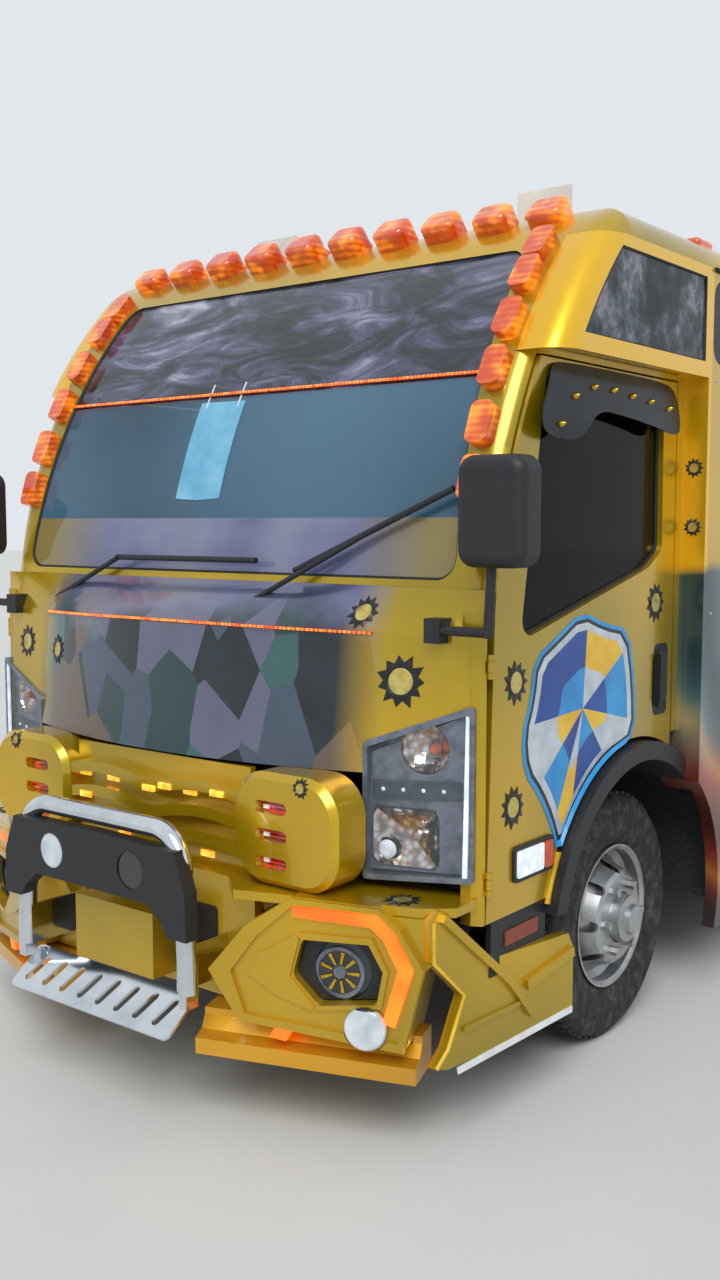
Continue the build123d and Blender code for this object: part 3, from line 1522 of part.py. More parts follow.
with BuildPart() as pillar_lamp_side:
    for z in pillar_lamp_zs:
        slope = arc_angle(z)
        normal = Vector(0, -sin(slope), cos(slope))
        foot = Vector(930 - (z - 1785) * 0.05, screen_y(z), z) - normal * 10
        with BuildSketch(Plane(origin=foot, x_dir=(1, 0, 0), z_dir=normal)):
            RectangleRounded(70, 122, 22)
        extrude(amount=48)
    add(hull, mode=Mode.SUBTRACT)
    add(cab_frame.part, mode=Mode.SUBTRACT)
with BuildPart() as marker_lamps:
    add(roof_lamps.part)
    add(both_sides(pillar_lamp_side.part))
    add(both_sides(band.part))
save(marker_lamps.part, "marker_lamps")

# Mirrors and wipers
mirror_y = at(-950)
with BuildPart() as mirror_left:
    with BuildSketch(Plane.XZ.offset(-mirror_y - 40)):
        with Locations((1083, 1702)):
            RectangleRounded(200, 282, 45)
    extrude(amount=90)
    fillet(mirror_left.faces().sort_by(Axis.Y)[0].edges(), 32)
    add(slab(1000, 1166, mirror_y + 33, 5000, 1580, 1824), mode=Mode.SUBTRACT)
    add(bar((1068, mirror_y, 1600), (1058, mirror_y, 1395), 13))
    add(bar((1058, mirror_y, 1395), (905, mirror_y, 1395), 13))
    with BuildSketch(Plane.XY.offset(1382)):
        with Locations((1058, mirror_y)):
            Circle(13)
    extrude(amount=26)
    add(slab(868, 918, at(-965), at(-900), 1360, 1425))
    add(nose_block(0), mode=Mode.SUBTRACT)
save(both_sides(mirror_left.part), "mirrors")

wiper_table = (
    ((-760, -925, 1392), (-400, -905, 1560), (-410, -898, 1562), (210, -898, 1562)),
    ((150, -960, 1400), (620, -874, 1650), (360, -898, 1535), (880, -846, 1765)),
)
with BuildPart() as wipers:
    for pivot, elbow, blade_start, blade_end in wiper_table:
        points = [(x, at(y), z) for x, y, z in (pivot, elbow, blade_start, blade_end)]
        add(bar(points[0], points[1], 8))
        add(bar(points[2], points[3], 9))
        add(bar((points[0][0], points[0][1], points[0][2] - 12), (points[0][0], points[0][1] + 40,
                points[0][2] - 12), 18))
    add(nose_block(0), mode=Mode.SUBTRACT)
    add(cab_frame.part, mode=Mode.SUBTRACT)
    add(windscreen.part, mode=Mode.SUBTRACT)
save(wipers.part, "wipers")

# Cab interior: dashboard, steering wheel and the two seats
dash_top_z = 1440
with BuildPart() as dashboard:
    with BuildSketch(Plane.YZ.offset(-cab_floor_half)):
        with BuildLine():
            Polyline((at(-830), 1200), (at(-830), dash_top_z), (at(-560), dash_top_z + 25),
                     (at(-520), 1380), (at(-600), 1180), (at(-640), 1000), (at(-700), floor_z),
                     (at(-740), floor_z), (at(-740), 1200), close=True)
        make_face()
    extrude(amount=2 * cab_floor_half)

driver_x = -480
column_foot = (driver_x, at(-580), 1330)
column_head = (driver_x, at(-460), 1520)
with BuildPart() as steering_wheel:
    add(bar(column_foot, column_head, 26))
    column = Vector(*column_head) - Vector(*column_foot)
    rim_plane = Plane(origin=column_head, x_dir=(1, 0, 0), z_dir=column)
    with BuildSketch(rim_plane):
        Circle(60)
        Rectangle(410, 34)
    extrude(amount=22)
    with BuildSketch(rim_plane):
        Circle(232)
        Circle(200, mode=Mode.SUBTRACT)
    extrude(amount=28)
    add(dashboard.part)
save(steering_wheel.part, "dashboard")

seat_height = 440
cushion_thickness = 110
back_height = 620
seat_rows = 6
seat_pitch = 690
seat_row_front_y = at(1400)


def seat(x, y, width, foot_z, plinth=True):
    """Cushion on its plinth or a bench, and a leaning back behind it."""
    top = foot_z + seat_height
    foot = top - cushion_thickness - 20
    with BuildPart() as cushion:
        with BuildSketch(Plane.YZ.offset(x - width / 2)):
            with BuildLine():
                Polyline((y, top - cushion_thickness), (y, top), (y + 400 - seat_gap, top - 20),
                         (y + 380 - seat_gap, foot), close=True)
            make_face()
        extrude(amount=width)
        if plinth:
            add(slab(x - width / 2 + 60, x + width / 2 - 60, y + 60, y + 360,
                     foot_z, top - cushion_thickness + 5))
    with BuildPart() as chair:
        with BuildSketch(Plane.YZ.offset(x - width / 2)):
            with BuildLine():
                Polyline((y + 400, top - 20), (y + 520, top + back_height),
                         (y + 600, top + back_height - 15), (y + 500, foot), (y + 380, foot),
                         close=True)
            make_face()
        extrude(amount=width)
        add(cushion.part)
        if not plinth:
            add(slab(-2000, 2000, y - 10, y + 900, 0, bench_z + seat_gap), mode=Mode.SUBTRACT)
    return chair.part


with BuildPart() as cab_seats:
    for x in (driver_x - 60, -driver_x + 60):
        add(seat(x, at(-200), 470, floor_z + seat_gap))

with BuildPart() as saloon_seats:
    for row in range(seat_rows):
        y = seat_row_front_y + row * seat_pitch
        for x in (600, -600):
            add(seat(x, y, 860, floor_z + seat_gap))
    bench_y = tail_y - wall - 620
    add(seat(0, bench_y, 2000, bench_z + cushion_thickness - seat_height, plinth=False))
with BuildPart() as seats:
    add(cab_seats.part)
    add(saloon_seats.part)
save(seats.part, "seats")

# Tail: bumper, lamps; roof sign plates
bumper_half_width = body_half - 35
with BuildPart() as rear_bumper:
    with BuildSketch(Plane.XY.offset(420)):
        with BuildLine():
            Polyline((-bumper_half_width, tail_y - 60), (-bumper_half_width, tail_y + 20),
                     (60 - bumper_half_width, overall_length / 2),
                     (bumper_half_width - 60, overall_length / 2),
                     (bumper_half_width, tail_y + 20), (bumper_half_width, tail_y - 60),
                     (bumper_half_width - 20, tail_y - 60),
                     (bumper_half_width - 20, tail_y + seat_gap),
                     (20 - bumper_half_width, tail_y + seat_gap),
                     (20 - bumper_half_width, tail_y - 60), close=True)
        make_face()
    extrude(amount=150)
    add(shell.part, mode=Mode.SUBTRACT)
save(rear_bumper.part, "rear_bumper")

with BuildPart() as rear_lamps:
    for side in (1, -1):
        for z in (760, 920, 1080):
            with BuildSketch(Plane.XZ.offset(-tail_y - seat_gap)):
                with Locations((side * 900, z)):
                    Circle(65)
            extrude(amount=-28)
with BuildPart() as red_lamps:
    add(rear_lamps.part)
    add(both_sides(slot_lamp.part))
save(red_lamps.part, "red_lamps")

sign_x = 595
with BuildPart() as roof_signs:
    for side in (1, -1):
        add(slab(side * (sign_x - 100), side * (sign_x + 100), at(90), at(102), 2660, 2770))
        add(slab(side * sign_x - 8, side * sign_x + 8, at(88), at(104), 2560, 2700))
    add(hull, mode=Mode.SUBTRACT)
save(roof_signs.part, "roof_sign_plates")
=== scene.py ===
# %% [markdown]
# # A painted minibus, dressed over its CAD frame
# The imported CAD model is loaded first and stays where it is, because every panel, wheel and
# hinge already has its real size there. What follows only adds finish: paint, glass, print,
# rubber, lamps and the small fittings that are too fine for the solids.

# %% Load the frame
import math
import random

import bmesh
import bpy
from mathutils import Matrix, Vector
from mathutils.bvhtree import BVHTree
from mathutils.geometry import delaunay_2d_cdt


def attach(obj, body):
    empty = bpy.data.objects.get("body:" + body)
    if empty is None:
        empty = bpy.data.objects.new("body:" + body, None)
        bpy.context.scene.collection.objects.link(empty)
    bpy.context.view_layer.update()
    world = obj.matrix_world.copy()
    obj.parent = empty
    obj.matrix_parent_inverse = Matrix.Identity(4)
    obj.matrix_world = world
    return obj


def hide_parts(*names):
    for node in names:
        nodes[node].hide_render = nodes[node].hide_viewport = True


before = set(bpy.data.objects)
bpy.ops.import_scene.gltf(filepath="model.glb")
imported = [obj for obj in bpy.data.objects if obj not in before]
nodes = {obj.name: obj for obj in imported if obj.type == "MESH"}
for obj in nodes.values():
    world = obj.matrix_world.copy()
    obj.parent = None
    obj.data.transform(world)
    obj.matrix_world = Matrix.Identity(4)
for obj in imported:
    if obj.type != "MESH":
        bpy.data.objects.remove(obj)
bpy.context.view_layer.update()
scene = bpy.context.scene
front_axle_y = -2.492
rear_axle_behind = 4.175
sides = (("left", 1), ("right", -1))


def at(behind):
    """Place along the vehicle of a point so many metres behind the front axle."""
    return front_axle_y + behind


# %% [markdown]
# ## Camera
# The photograph is tall and was taken from head height near the front left corner. Lens, place
# and turn come from matching wheels, lamps and body edges, so the sensor's long side is fitted
# to the picture's height and nothing is shifted.

# %% Camera
film_height_mm = 36.0
camera_data = bpy.data.cameras.new("camera")
camera_data.sensor_fit = "VERTICAL"
camera_data.sensor_height = film_height_mm
camera_data.sensor_width = film_height_mm
camera_data.lens = 35.31
yaw, pitch = math.radians(38.345), math.radians(-5.377)
looking = Vector((-math.sin(yaw) * math.cos(pitch), math.cos(yaw) * math.cos(pitch), math.sin(pitch)))
camera = bpy.data.objects.new("camera", camera_data)
camera.location = (2.76714, -6.12567, 1.67607)
camera.rotation_euler = looking.to_track_quat("-Z", "Y").to_euler()
scene.collection.objects.link(camera)
scene.camera = camera
scene.view_settings.view_transform = "Standard"
print("camera at", tuple(round(v, 3) for v in camera.location), "lens", camera_data.lens)

# %% [markdown]
# ## Nodes of a material
# Every finish below is a small tree of shader nodes. One function adds a node with its settings
# and its links, so a recipe reads from top to bottom. Colours are picked as sRGB hex values and
# turned to the linear numbers that the renderer needs. The grain of a pattern is given as a real
# size in millimetres, and a texture's scale is how many such cells fit in a metre.

# %% Helpers for materials


def linear(code):
    """Linear colour of an sRGB hex value such as #B79A1C."""
    values = [int(code[i:i + 2], 16) / 255 for i in (1, 3, 5)]
    return tuple(v / 12.92 if v <= 0.04045 else ((v + 0.055) / 1.055) ** 2.4 for v in values) + (1.0,)


def cells_of(size_mm):
    """Scale of a texture whose cells have a size in millimetres."""
    return 1000 / size_mm


def add_node(tree, kind, links=None, stops=(), hard_steps=False, **settings):
    """Adds a node with its settings, its inputs set or linked, and the stops of a colour ramp."""
    node = tree.nodes.new(kind)
    for name, value in settings.items():
        setattr(node, name, value)
    for key, value in (links or {}).items():
        if isinstance(value, bpy.types.NodeSocket):
            tree.links.new(value, node.inputs[key])
        else:
            node.inputs[key].default_value = value
    if stops:
        node.color_ramp.interpolation = "CONSTANT" if hard_steps else "LINEAR"
        elements = node.color_ramp.elements
        while len(elements) < len(stops):
            elements.new(1.0)
        for element, (position, code) in zip(elements, stops):
            element.position = position
            element.color = linear(code)
    return node


def start_material(name, **uniform):
    """New material with its shader; uniform values are set on the shader's own sockets."""
    material = bpy.data.materials.new(name)
    material.use_nodes = True
    tree = material.node_tree
    tree.nodes.clear()
    sockets = {key.replace("_", " "): value for key, value in uniform.items()}
    shader = add_node(tree, "ShaderNodeBsdfPrincipled", sockets)
    add_node(tree, "ShaderNodeOutputMaterial", {"Surface": shader.outputs[0]})
    place = add_node(tree, "ShaderNodeTexCoord").outputs["Object"]
    return material, tree, shader, place


print("linear mid grey", [round(v, 3) for v in linear("#808080")])

# %% [markdown]
# ## Candy coach paint
# The body is sprayed steel sheet: a metallic gold-olive base under clear lacquer. The base is
# never one colour, because hand spraying leaves it yellower in some places and greener in
# others. A slow noise of about a metre gives that, a finer one the dust near the ground, and a
# coat gives the sharp reflection over the soft metallic one.

# %% Candy paint
drift_mm, dust_mm, orange_peel_mm = 909.1, 111.1, 7.143
dust_top_z, dust_foot_z = 0.75, 0.15
gold_stops = ((0.30, "#9E8806"), (0.45, "#B69808"), (0.58, "#CEA60A"), (0.72, "#E0B410"))


def candy_paint(name, stops):
    """Metallic lacquer whose shade drifts over a metre, dusty towards the ground."""
    material, tree, shader, place = start_material(
        name, Metallic=0.6, Roughness=0.3, Coat_Weight=0.7, Coat_Roughness=0.06)
    drift = add_node(tree, "ShaderNodeTexNoise", {
        "Vector": place, "Scale": cells_of(drift_mm), "Detail": 2.0})
    colour = add_node(tree, "ShaderNodeValToRGB", {"Fac": drift.outputs["Fac"]}, stops)
    split = add_node(tree, "ShaderNodeSeparateXYZ", {"Vector": place})
    low = add_node(tree, "ShaderNodeMapRange", {
        "Value": split.outputs["Z"], "From Min": dust_top_z, "From Max": dust_foot_z,
        "To Min": 0.0, "To Max": 0.35})
    grit = add_node(tree, "ShaderNodeTexNoise", {
        "Vector": place, "Scale": cells_of(dust_mm), "Detail": 6.0, "Roughness": 0.7})
    amount = add_node(tree, "ShaderNodeMath", {0: low.outputs[0], 1: grit.outputs["Fac"]},
                      operation="MULTIPLY")
    dusty = add_node(tree, "ShaderNodeMix", {
        "Factor": amount.outputs[0], 6: colour.outputs["Color"], 7: linear("#6E6352")}, data_type="RGBA")
    tree.links.new(dusty.outputs[2], shader.inputs["Base Color"])
    rough = add_node(tree, "ShaderNodeMapRange", {
        "Value": amount.outputs[0], "From Min": 0.0, "From Max": 0.4, "To Min": 0.27, "To Max": 0.6})
    tree.links.new(rough.outputs[0], shader.inputs["Roughness"])
    peel = add_node(tree, "ShaderNodeTexNoise", {
        "Vector": place, "Scale": cells_of(orange_peel_mm), "Detail": 1.0})
    bump = add_node(tree, "ShaderNodeBump", {
        "Height": peel.outputs["Fac"], "Strength": 0.04, "Distance": 0.002})
    tree.links.new(bump.outputs[0], shader.inputs["Normal"])
    return material, tree, shader, place, dusty.outputs[2]


body_paint = candy_paint("candy_gold_lacquer", gold_stops)[0]
print("paint", body_paint.name, "with", len(body_paint.node_tree.nodes), "nodes")

# %% [markdown]
# ## Lip and skirts
# The lip under the bumper pods was sprayed a warmer amber than the rest, and the skirts behind
# it are the body's gold. Lip and skirts are one CAD node, so one material serves both, and the
# distance from the middle of the vehicle tells them apart.

# %% Lip paint
amber_stops = ((0.30, "#D29606"), (0.45, "#E4A408"), (0.58, "#F4B00A"), (0.72, "#FFC012"))
skirt_inner_x = 0.962
lip_paint, tree, shader, place, lip_colour = candy_paint("candy_amber_lacquer", amber_stops)
split = add_node(tree, "ShaderNodeSeparateXYZ", {"Vector": place})
aside = add_node(tree, "ShaderNodeMath", {0: split.outputs["X"]}, operation="ABSOLUTE")
on_skirt = add_node(tree, "ShaderNodeMath", {0: aside.outputs[0], 1: skirt_inner_x}, operation="GREATER_THAN")
drift = add_node(tree, "ShaderNodeTexNoise", {"Vector": place, "Scale": cells_of(drift_mm), "Detail": 2.0})
gold = add_node(tree, "ShaderNodeValToRGB", {"Fac": drift.outputs["Fac"]}, gold_stops)
lip_or_skirt = add_node(tree, "ShaderNodeMix", {
    "Factor": on_skirt.outputs[0], 6: lip_colour, 7: gold.outputs["Color"]}, data_type="RGBA")
tree.links.new(lip_or_skirt.outputs[2], shader.inputs["Base Color"])
print("paint", lip_paint.name, "with the skirts beyond", skirt_inner_x, "m")

# %% [markdown]
# ## Painted sides of the coach body
# On the coach body the gold stops at the waist: green-blue airbrushing runs below it and turns
# to rust red at the skirt. A wave texture with a strong distortion draws flowing bands, one set
# of colours for each height. At scale one its slanting bands turn ten radians with each metre
# along the vehicle. Above the waist the jamb beside the cab door, which faces forward, is a bright
# yellow that is painted sunlight on that face.

# %% Coach side paint
band_pitch, wobble_mm = 1.1424, 454.5
radians_a_metre = 10
jamb_rear_y = at(0.330)
airbrush_stops = ((0.0, "#2D4A50"), (0.3, "#4F7A74"), (0.5, "#8FA39A"), (0.62, "#B8AE86"),
                  (0.8, "#5B7E86"), (1.0, "#27404A"))
ember_stops = ((0.0, "#5A2418"), (0.35, "#A5442A"), (0.6, "#C9803A"), (0.85, "#7B3A2C"), (1.0, "#3B2A2A"))
coach_paint, tree, shader, place, gold_colour = candy_paint("airbrushed_coach_lacquer", gold_stops)
flow = add_node(tree, "ShaderNodeTexWave", {
    "Vector": place, "Scale": 2 * math.pi / (radians_a_metre * band_pitch), "Distortion": 9.0,
    "Detail": 2.0, "Detail Scale": 0.8}, wave_type="BANDS", bands_direction="DIAGONAL")
airbrush = add_node(tree, "ShaderNodeValToRGB", {"Fac": flow.outputs["Fac"]}, airbrush_stops)
ember = add_node(tree, "ShaderNodeValToRGB", {"Fac": flow.outputs["Fac"]}, ember_stops)
split = add_node(tree, "ShaderNodeSeparateXYZ", {"Vector": place})
wobble = add_node(tree, "ShaderNodeTexNoise", {"Vector": place, "Scale": cells_of(wobble_mm), "Detail": 1.0})
height = add_node(tree, "ShaderNodeMath", {0: wobble.outputs["Fac"], 1: 0.16, 2: split.outputs["Z"]},
                  operation="MULTIPLY_ADD")
rust_share = add_node(tree, "ShaderNodeMapRange", {
    "Value": height.outputs[0], "From Min": 1.08, "From Max": 0.92})
lower = add_node(tree, "ShaderNodeMix", {
    "Factor": rust_share.outputs[0], 6: airbrush.outputs["Color"], 7: ember.outputs["Color"]},
    data_type="RGBA")
below_waist = add_node(tree, "ShaderNodeMapRange", {
    "Value": height.outputs[0], "From Min": 1.64, "From Max": 1.60})
coach_colour = add_node(tree, "ShaderNodeMix", {
    "Factor": below_waist.outputs[0], 6: gold_colour, 7: lower.outputs[2]}, data_type="RGBA")
# Ahead of the jamb's rear edge and above the waist the colour turns bright yellow: painted sunlight on the
# forward face.
jamb = add_node(tree, "ShaderNodeMapRange", {
    "Value": split.outputs["Y"], "From Min": jamb_rear_y, "From Max": jamb_rear_y - 0.012})
above_waist = add_node(tree, "ShaderNodeMath", {0: 1.0, 1: below_waist.outputs[0]}, operation="SUBTRACT")
painted_sunlight = add_node(tree, "ShaderNodeMath", {0: jamb.outputs[0], 1: above_waist.outputs[0]},
                 operation="MULTIPLY")
with_jamb = add_node(tree, "ShaderNodeMix", {
    "Factor": painted_sunlight.outputs[0], 6: coach_colour.outputs[2], 7: linear("#F2BE14")}, data_type="RGBA")
tree.links.new(with_jamb.outputs[2], shader.inputs["Base Color"])
print("paint", coach_paint.name, "bands", band_pitch, "m apart")

# %% [markdown]
# ## Print on the nose panel
# A vinyl print covers the middle of the nose and the foot of the windscreen: misty lavender
# above, slate and teal shapes below, fading into the gold at both sides. The shapes here are a
# plain mosaic, made from the cells of a Voronoi texture with a few hard steps of colour.

# %% Nose print
mosaic_mm, airbrush_mm, mist_mm = 133.3, 111.1, 416.7
print_inner_x, print_outer_x = 0.60, 0.74
facet_stops = ((0.0, "#121517"), (0.20, "#234244"), (0.36, "#3E6D6A"), (0.50, "#4F5B70"),
               (0.62, "#17191C"), (0.76, "#75738C"), (0.88, "#7A6250"))
mist_stops = ((0.3, "#565F82"), (0.5, "#74769A"), (0.7, "#8A8F98"))


def facet_print(tree, place, top_z, foot_z):
    """Colour of the print, mist above and a mosaic below, and the place split in its parts."""
    split = add_node(tree, "ShaderNodeSeparateXYZ", {"Vector": place})
    shapes = add_node(tree, "ShaderNodeMapping", {"Vector": place, "Scale": (1.0, 0.5, 0.62)})
    cells = add_node(tree, "ShaderNodeTexVoronoi", {
        "Vector": shapes.outputs[0], "Scale": cells_of(mosaic_mm), "Randomness": 0.9})
    pick = add_node(tree, "ShaderNodeSeparateColor", {"Color": cells.outputs["Color"]})
    facets = add_node(tree, "ShaderNodeValToRGB", {"Fac": pick.outputs[0]}, facet_stops, hard_steps=True)
    haze = add_node(tree, "ShaderNodeTexNoise", {
        "Vector": place, "Scale": cells_of(airbrush_mm), "Detail": 4.0})
    haze_share = add_node(tree, "ShaderNodeMath", {0: haze.outputs["Fac"], 1: 0.55}, operation="MULTIPLY")
    worn = add_node(tree, "ShaderNodeMix", {
        "Factor": haze_share.outputs[0], 6: facets.outputs["Color"], 7: linear("#3F4E57")}, data_type="RGBA")
    mist = add_node(tree, "ShaderNodeTexNoise", {"Vector": place, "Scale": cells_of(mist_mm), "Detail": 3.0})
    sky = add_node(tree, "ShaderNodeValToRGB", {"Fac": mist.outputs["Fac"]}, mist_stops)
    rise = add_node(tree, "ShaderNodeMath", {0: mist.outputs["Fac"], 1: 0.40, 2: split.outputs["Z"]},
                    operation="MULTIPLY_ADD")
    share = add_node(tree, "ShaderNodeMapRange", {
        "Value": rise.outputs[0], "From Min": top_z, "From Max": foot_z})
    whole = add_node(tree, "ShaderNodeMix", {
        "Factor": share.outputs[0], 6: sky.outputs["Color"], 7: worn.outputs[2]}, data_type="RGBA")
    return whole.outputs[2], split


nose_paint, tree, shader, place, gold_colour = candy_paint("printed_nose_lacquer", gold_stops)
print_colour, split = facet_print(tree, place, 1.64, 1.56)
aside = add_node(tree, "ShaderNodeMath", {0: split.outputs["X"]}, operation="ABSOLUTE")
fade = add_node(tree, "ShaderNodeMapRange", {
    "Value": aside.outputs[0], "From Min": print_outer_x, "From Max": print_inner_x})
printed = add_node(tree, "ShaderNodeMix", {
    "Factor": fade.outputs[0], 6: gold_colour, 7: print_colour}, data_type="RGBA")
tree.links.new(printed.outputs[2], shader.inputs["Base Color"])
print("print on", nose_paint.name, "mosaic of", mosaic_mm, "mm")

# %% [markdown]
# ## Windscreen
# Laminated windscreen glass is thin and clear, so a low roughness and a coat make the shine and
# the alpha lets the cab show. Its clear part is coloured a drifting blue, which is a light tint of
# the glass and a painted reflection of the sky. The print film on its top and foot is opaque: masks
# by height switch the colour and the alpha. The brow has streaks, drawn by a noise that is stretched
# and turned, and the foot carries on the nose print.

# %% Windscreen with its printed films
streak_mm, sky_reflection_mm = 322.6, 1250
brow_foot_z, nose_print_z, film_edge = 2.072, 1.689, 0.002
streak_stops = ((0.30, "#15171C"), (0.44, "#2C3038"), (0.54, "#4C4E66"), (0.62, "#77738C"), (0.72, "#A9AEBC"))
windscreen_glass, tree, shader, place = start_material(
    "laminated_windscreen", Roughness=0.05, Coat_Weight=0.3)
foot_print, split = facet_print(tree, place, 1.60, 1.50)
aside = add_node(tree, "ShaderNodeMath", {0: split.outputs["X"]}, operation="ABSOLUTE")
side_gold = add_node(tree, "ShaderNodeMapRange", {
    "Value": aside.outputs[0], "From Min": 0.52, "From Max": 0.80, "To Min": 0.0, "To Max": 0.85})
foot_colour = add_node(tree, "ShaderNodeMix", {
    "Factor": side_gold.outputs[0], 6: foot_print, 7: linear("#8C7A26")}, data_type="RGBA")
streak_place = add_node(tree, "ShaderNodeMapping", {
    "Vector": place, "Rotation": (0.0, 0.6, 0.0), "Scale": (1.0, 1.0, 3.2)})
streaks = add_node(tree, "ShaderNodeTexNoise", {
    "Vector": streak_place.outputs[0], "Scale": cells_of(streak_mm), "Detail": 6.0, "Roughness": 0.65,
    "Distortion": 1.2})
brow_print = add_node(tree, "ShaderNodeValToRGB", {"Fac": streaks.outputs["Fac"]}, streak_stops)
# Blue of the clear glass: a light tint and a painted reflection of the sky, drifting slowly.
clear = add_node(tree, "ShaderNodeTexNoise", {"Vector": place, "Scale": cells_of(sky_reflection_mm), "Detail": 1.0})
sky_reflection_tint = add_node(tree, "ShaderNodeValToRGB", {"Fac": clear.outputs["Fac"]},
                ((0.35, "#2F4F64"), (0.65, "#5B86A2")))
over_brow = add_node(tree, "ShaderNodeMapRange", {
    "Value": split.outputs["Z"], "From Min": brow_foot_z, "From Max": brow_foot_z + film_edge})
under_foot = add_node(tree, "ShaderNodeMapRange", {
    "Value": split.outputs["Z"], "From Min": nose_print_z, "From Max": nose_print_z - film_edge})
upper = add_node(tree, "ShaderNodeMix", {
    "Factor": over_brow.outputs[0], 6: sky_reflection_tint.outputs["Color"], 7: brow_print.outputs["Color"]},
    data_type="RGBA")
whole = add_node(tree, "ShaderNodeMix", {
    "Factor": under_foot.outputs[0], 6: upper.outputs[2], 7: foot_colour.outputs[2]}, data_type="RGBA")
tree.links.new(whole.outputs[2], shader.inputs["Base Color"])
film = add_node(tree, "ShaderNodeMath", {0: over_brow.outputs[0], 1: under_foot.outputs[0]},
                operation="MAXIMUM")
alpha = add_node(tree, "ShaderNodeMapRange", {"Value": film.outputs[0], "To Min": 0.6, "To Max": 1.0})
tree.links.new(alpha.outputs[0], shader.inputs["Alpha"])
print("glass", windscreen_glass.name, "clear from", nose_print_z, "to", brow_foot_z)

# %% [markdown]
# ## Side glass and lamp glass
# Side glass is tempered glass under dark film: nearly black and smooth, with little of the pale
# surround in it. The saloon panes are the same, but the pane over each cab door carries a print
# of pale streaks. Lamp covers are moulded polycarbonate, almost clear, a little scuffed.

# %% Side glass and lamp glass
patch_mm = 222.2
print_rear_y, print_foot_z = at(0.300), 2.13


def clouded(name, stops, cloud_mm, detail, lit=False, **uniform):
    """Smooth finish whose colour drifts with one noise; a lit one glows in the same colours."""
    material, tree, shader, place = start_material(name, **uniform)
    cloud = add_node(tree, "ShaderNodeTexNoise", {
        "Vector": place, "Scale": cells_of(cloud_mm), "Detail": detail})
    colour = add_node(tree, "ShaderNodeValToRGB", {"Fac": cloud.outputs["Fac"]}, stops)
    for socket in ("Base Color", "Emission Color") if lit else ("Base Color",):
        tree.links.new(colour.outputs["Color"], shader.inputs[socket])
    return material


smoked_glass = clouded("smoked_tempered_glass", ((0.35, "#040506"), (0.7, "#0B0E12")), 333.3, 4.0,
                       Roughness=0.05, Alpha=0.82, Specular_IOR_Level=0.12)
lamp_glass = clouded("moulded_clear_polycarbonate", ((0.3, "#6B7682"), (0.7, "#9AA4AE")), 33.33, 3.0,
                     Roughness=0.04, Alpha=0.10, Specular_IOR_Level=0.6)

saloon_pane, tree, shader, place = start_material(
    "printed_saloon_glass", Roughness=0.08, Alpha=0.95, Specular_IOR_Level=0.22, Coat_Weight=0.05)
split = add_node(tree, "ShaderNodeSeparateXYZ", {"Vector": place})
patches = add_node(tree, "ShaderNodeTexNoise", {
    "Vector": place, "Scale": cells_of(patch_mm), "Detail": 5.0, "Roughness": 0.7})
print_tones = add_node(tree, "ShaderNodeValToRGB", {"Fac": patches.outputs["Fac"]}, (
    (0.34, "#0E1013"), (0.46, "#2A3036"), (0.54, "#55606B"), (0.60, "#8D8794"), (0.66, "#6E4A48"),
    (0.74, "#C9CBD0")))
dark_tones = add_node(tree, "ShaderNodeValToRGB", {"Fac": patches.outputs["Fac"]},
                      ((0.35, "#0A0C0E"), (0.7, "#171C20")))
ahead = add_node(tree, "ShaderNodeMapRange", {
    "Value": split.outputs["Y"], "From Min": print_rear_y, "From Max": print_rear_y - 0.002})
above = add_node(tree, "ShaderNodeMapRange", {
    "Value": split.outputs["Z"], "From Min": print_foot_z, "From Max": print_foot_z + 0.01})
both = add_node(tree, "ShaderNodeMath", {0: ahead.outputs[0], 1: above.outputs[0]}, operation="MULTIPLY")
pane_colour = add_node(tree, "ShaderNodeMix", {
    "Factor": both.outputs[0], 6: dark_tones.outputs["Color"], 7: print_tones.outputs["Color"]},
    data_type="RGBA")
tree.links.new(pane_colour.outputs[2], shader.inputs["Base Color"])
print("glass", smoked_glass.name, saloon_pane.name, lamp_glass.name)

# %% [markdown]
# ## Lamp lenses
# Marker lamps are amber acrylic over strips of diodes, and tail lamps are the same in red. A
# lens keeps its colour when it is off, and faint level bands glow where the diodes sit behind
# it. The headlamp bowls are plated by vacuum, with small facets that break up what they mirror.
# Their colour, bright at the middle of each facet and warmer and greyer towards its edge, is a
# painted reflection in the facets.

# %% Lens materials
lens_patch_mm, bowl_facet_mm = 71.43, 22.22


def lens_material(name, dark, bright, glow, pitch, banding, strength):
    """Coloured acrylic with glowing level bands a pitch apart, in metres."""
    material, tree, shader, place = start_material(
        name, Roughness=0.18, Coat_Weight=1.0, Emission_Strength=strength)
    split = add_node(tree, "ShaderNodeSeparateXYZ", {"Vector": place})
    phase = add_node(tree, "ShaderNodeMath", {0: split.outputs["Z"], 1: 2 * math.pi / pitch},
                     operation="MULTIPLY")
    wave = add_node(tree, "ShaderNodeMath", {0: phase.outputs[0]}, operation="SINE")
    patch = add_node(tree, "ShaderNodeTexNoise", {
        "Vector": place, "Scale": cells_of(lens_patch_mm), "Detail": 2.0})
    level = add_node(tree, "ShaderNodeMath", {0: wave.outputs[0], 1: banding, 2: patch.outputs["Fac"]},
                     operation="MULTIPLY_ADD")
    colour = add_node(tree, "ShaderNodeValToRGB", {"Fac": level.outputs[0]}, ((0.35, dark), (0.7, bright)))
    light = add_node(tree, "ShaderNodeValToRGB", {"Fac": level.outputs[0]}, ((0.5, "#000000"), (0.8, glow)))
    tree.links.new(colour.outputs["Color"], shader.inputs["Base Color"])
    tree.links.new(light.outputs["Color"], shader.inputs["Emission Color"])
    return material


amber_lens = lens_material("amber_acrylic", "#D84206", "#FF8410", "#FF9420", 0.019, 0.05, 0.9)
red_lens = lens_material("red_acrylic", "#7A0A0C", "#C81E22", "#FF3A2A", 0.012, 0.22, 0.55)

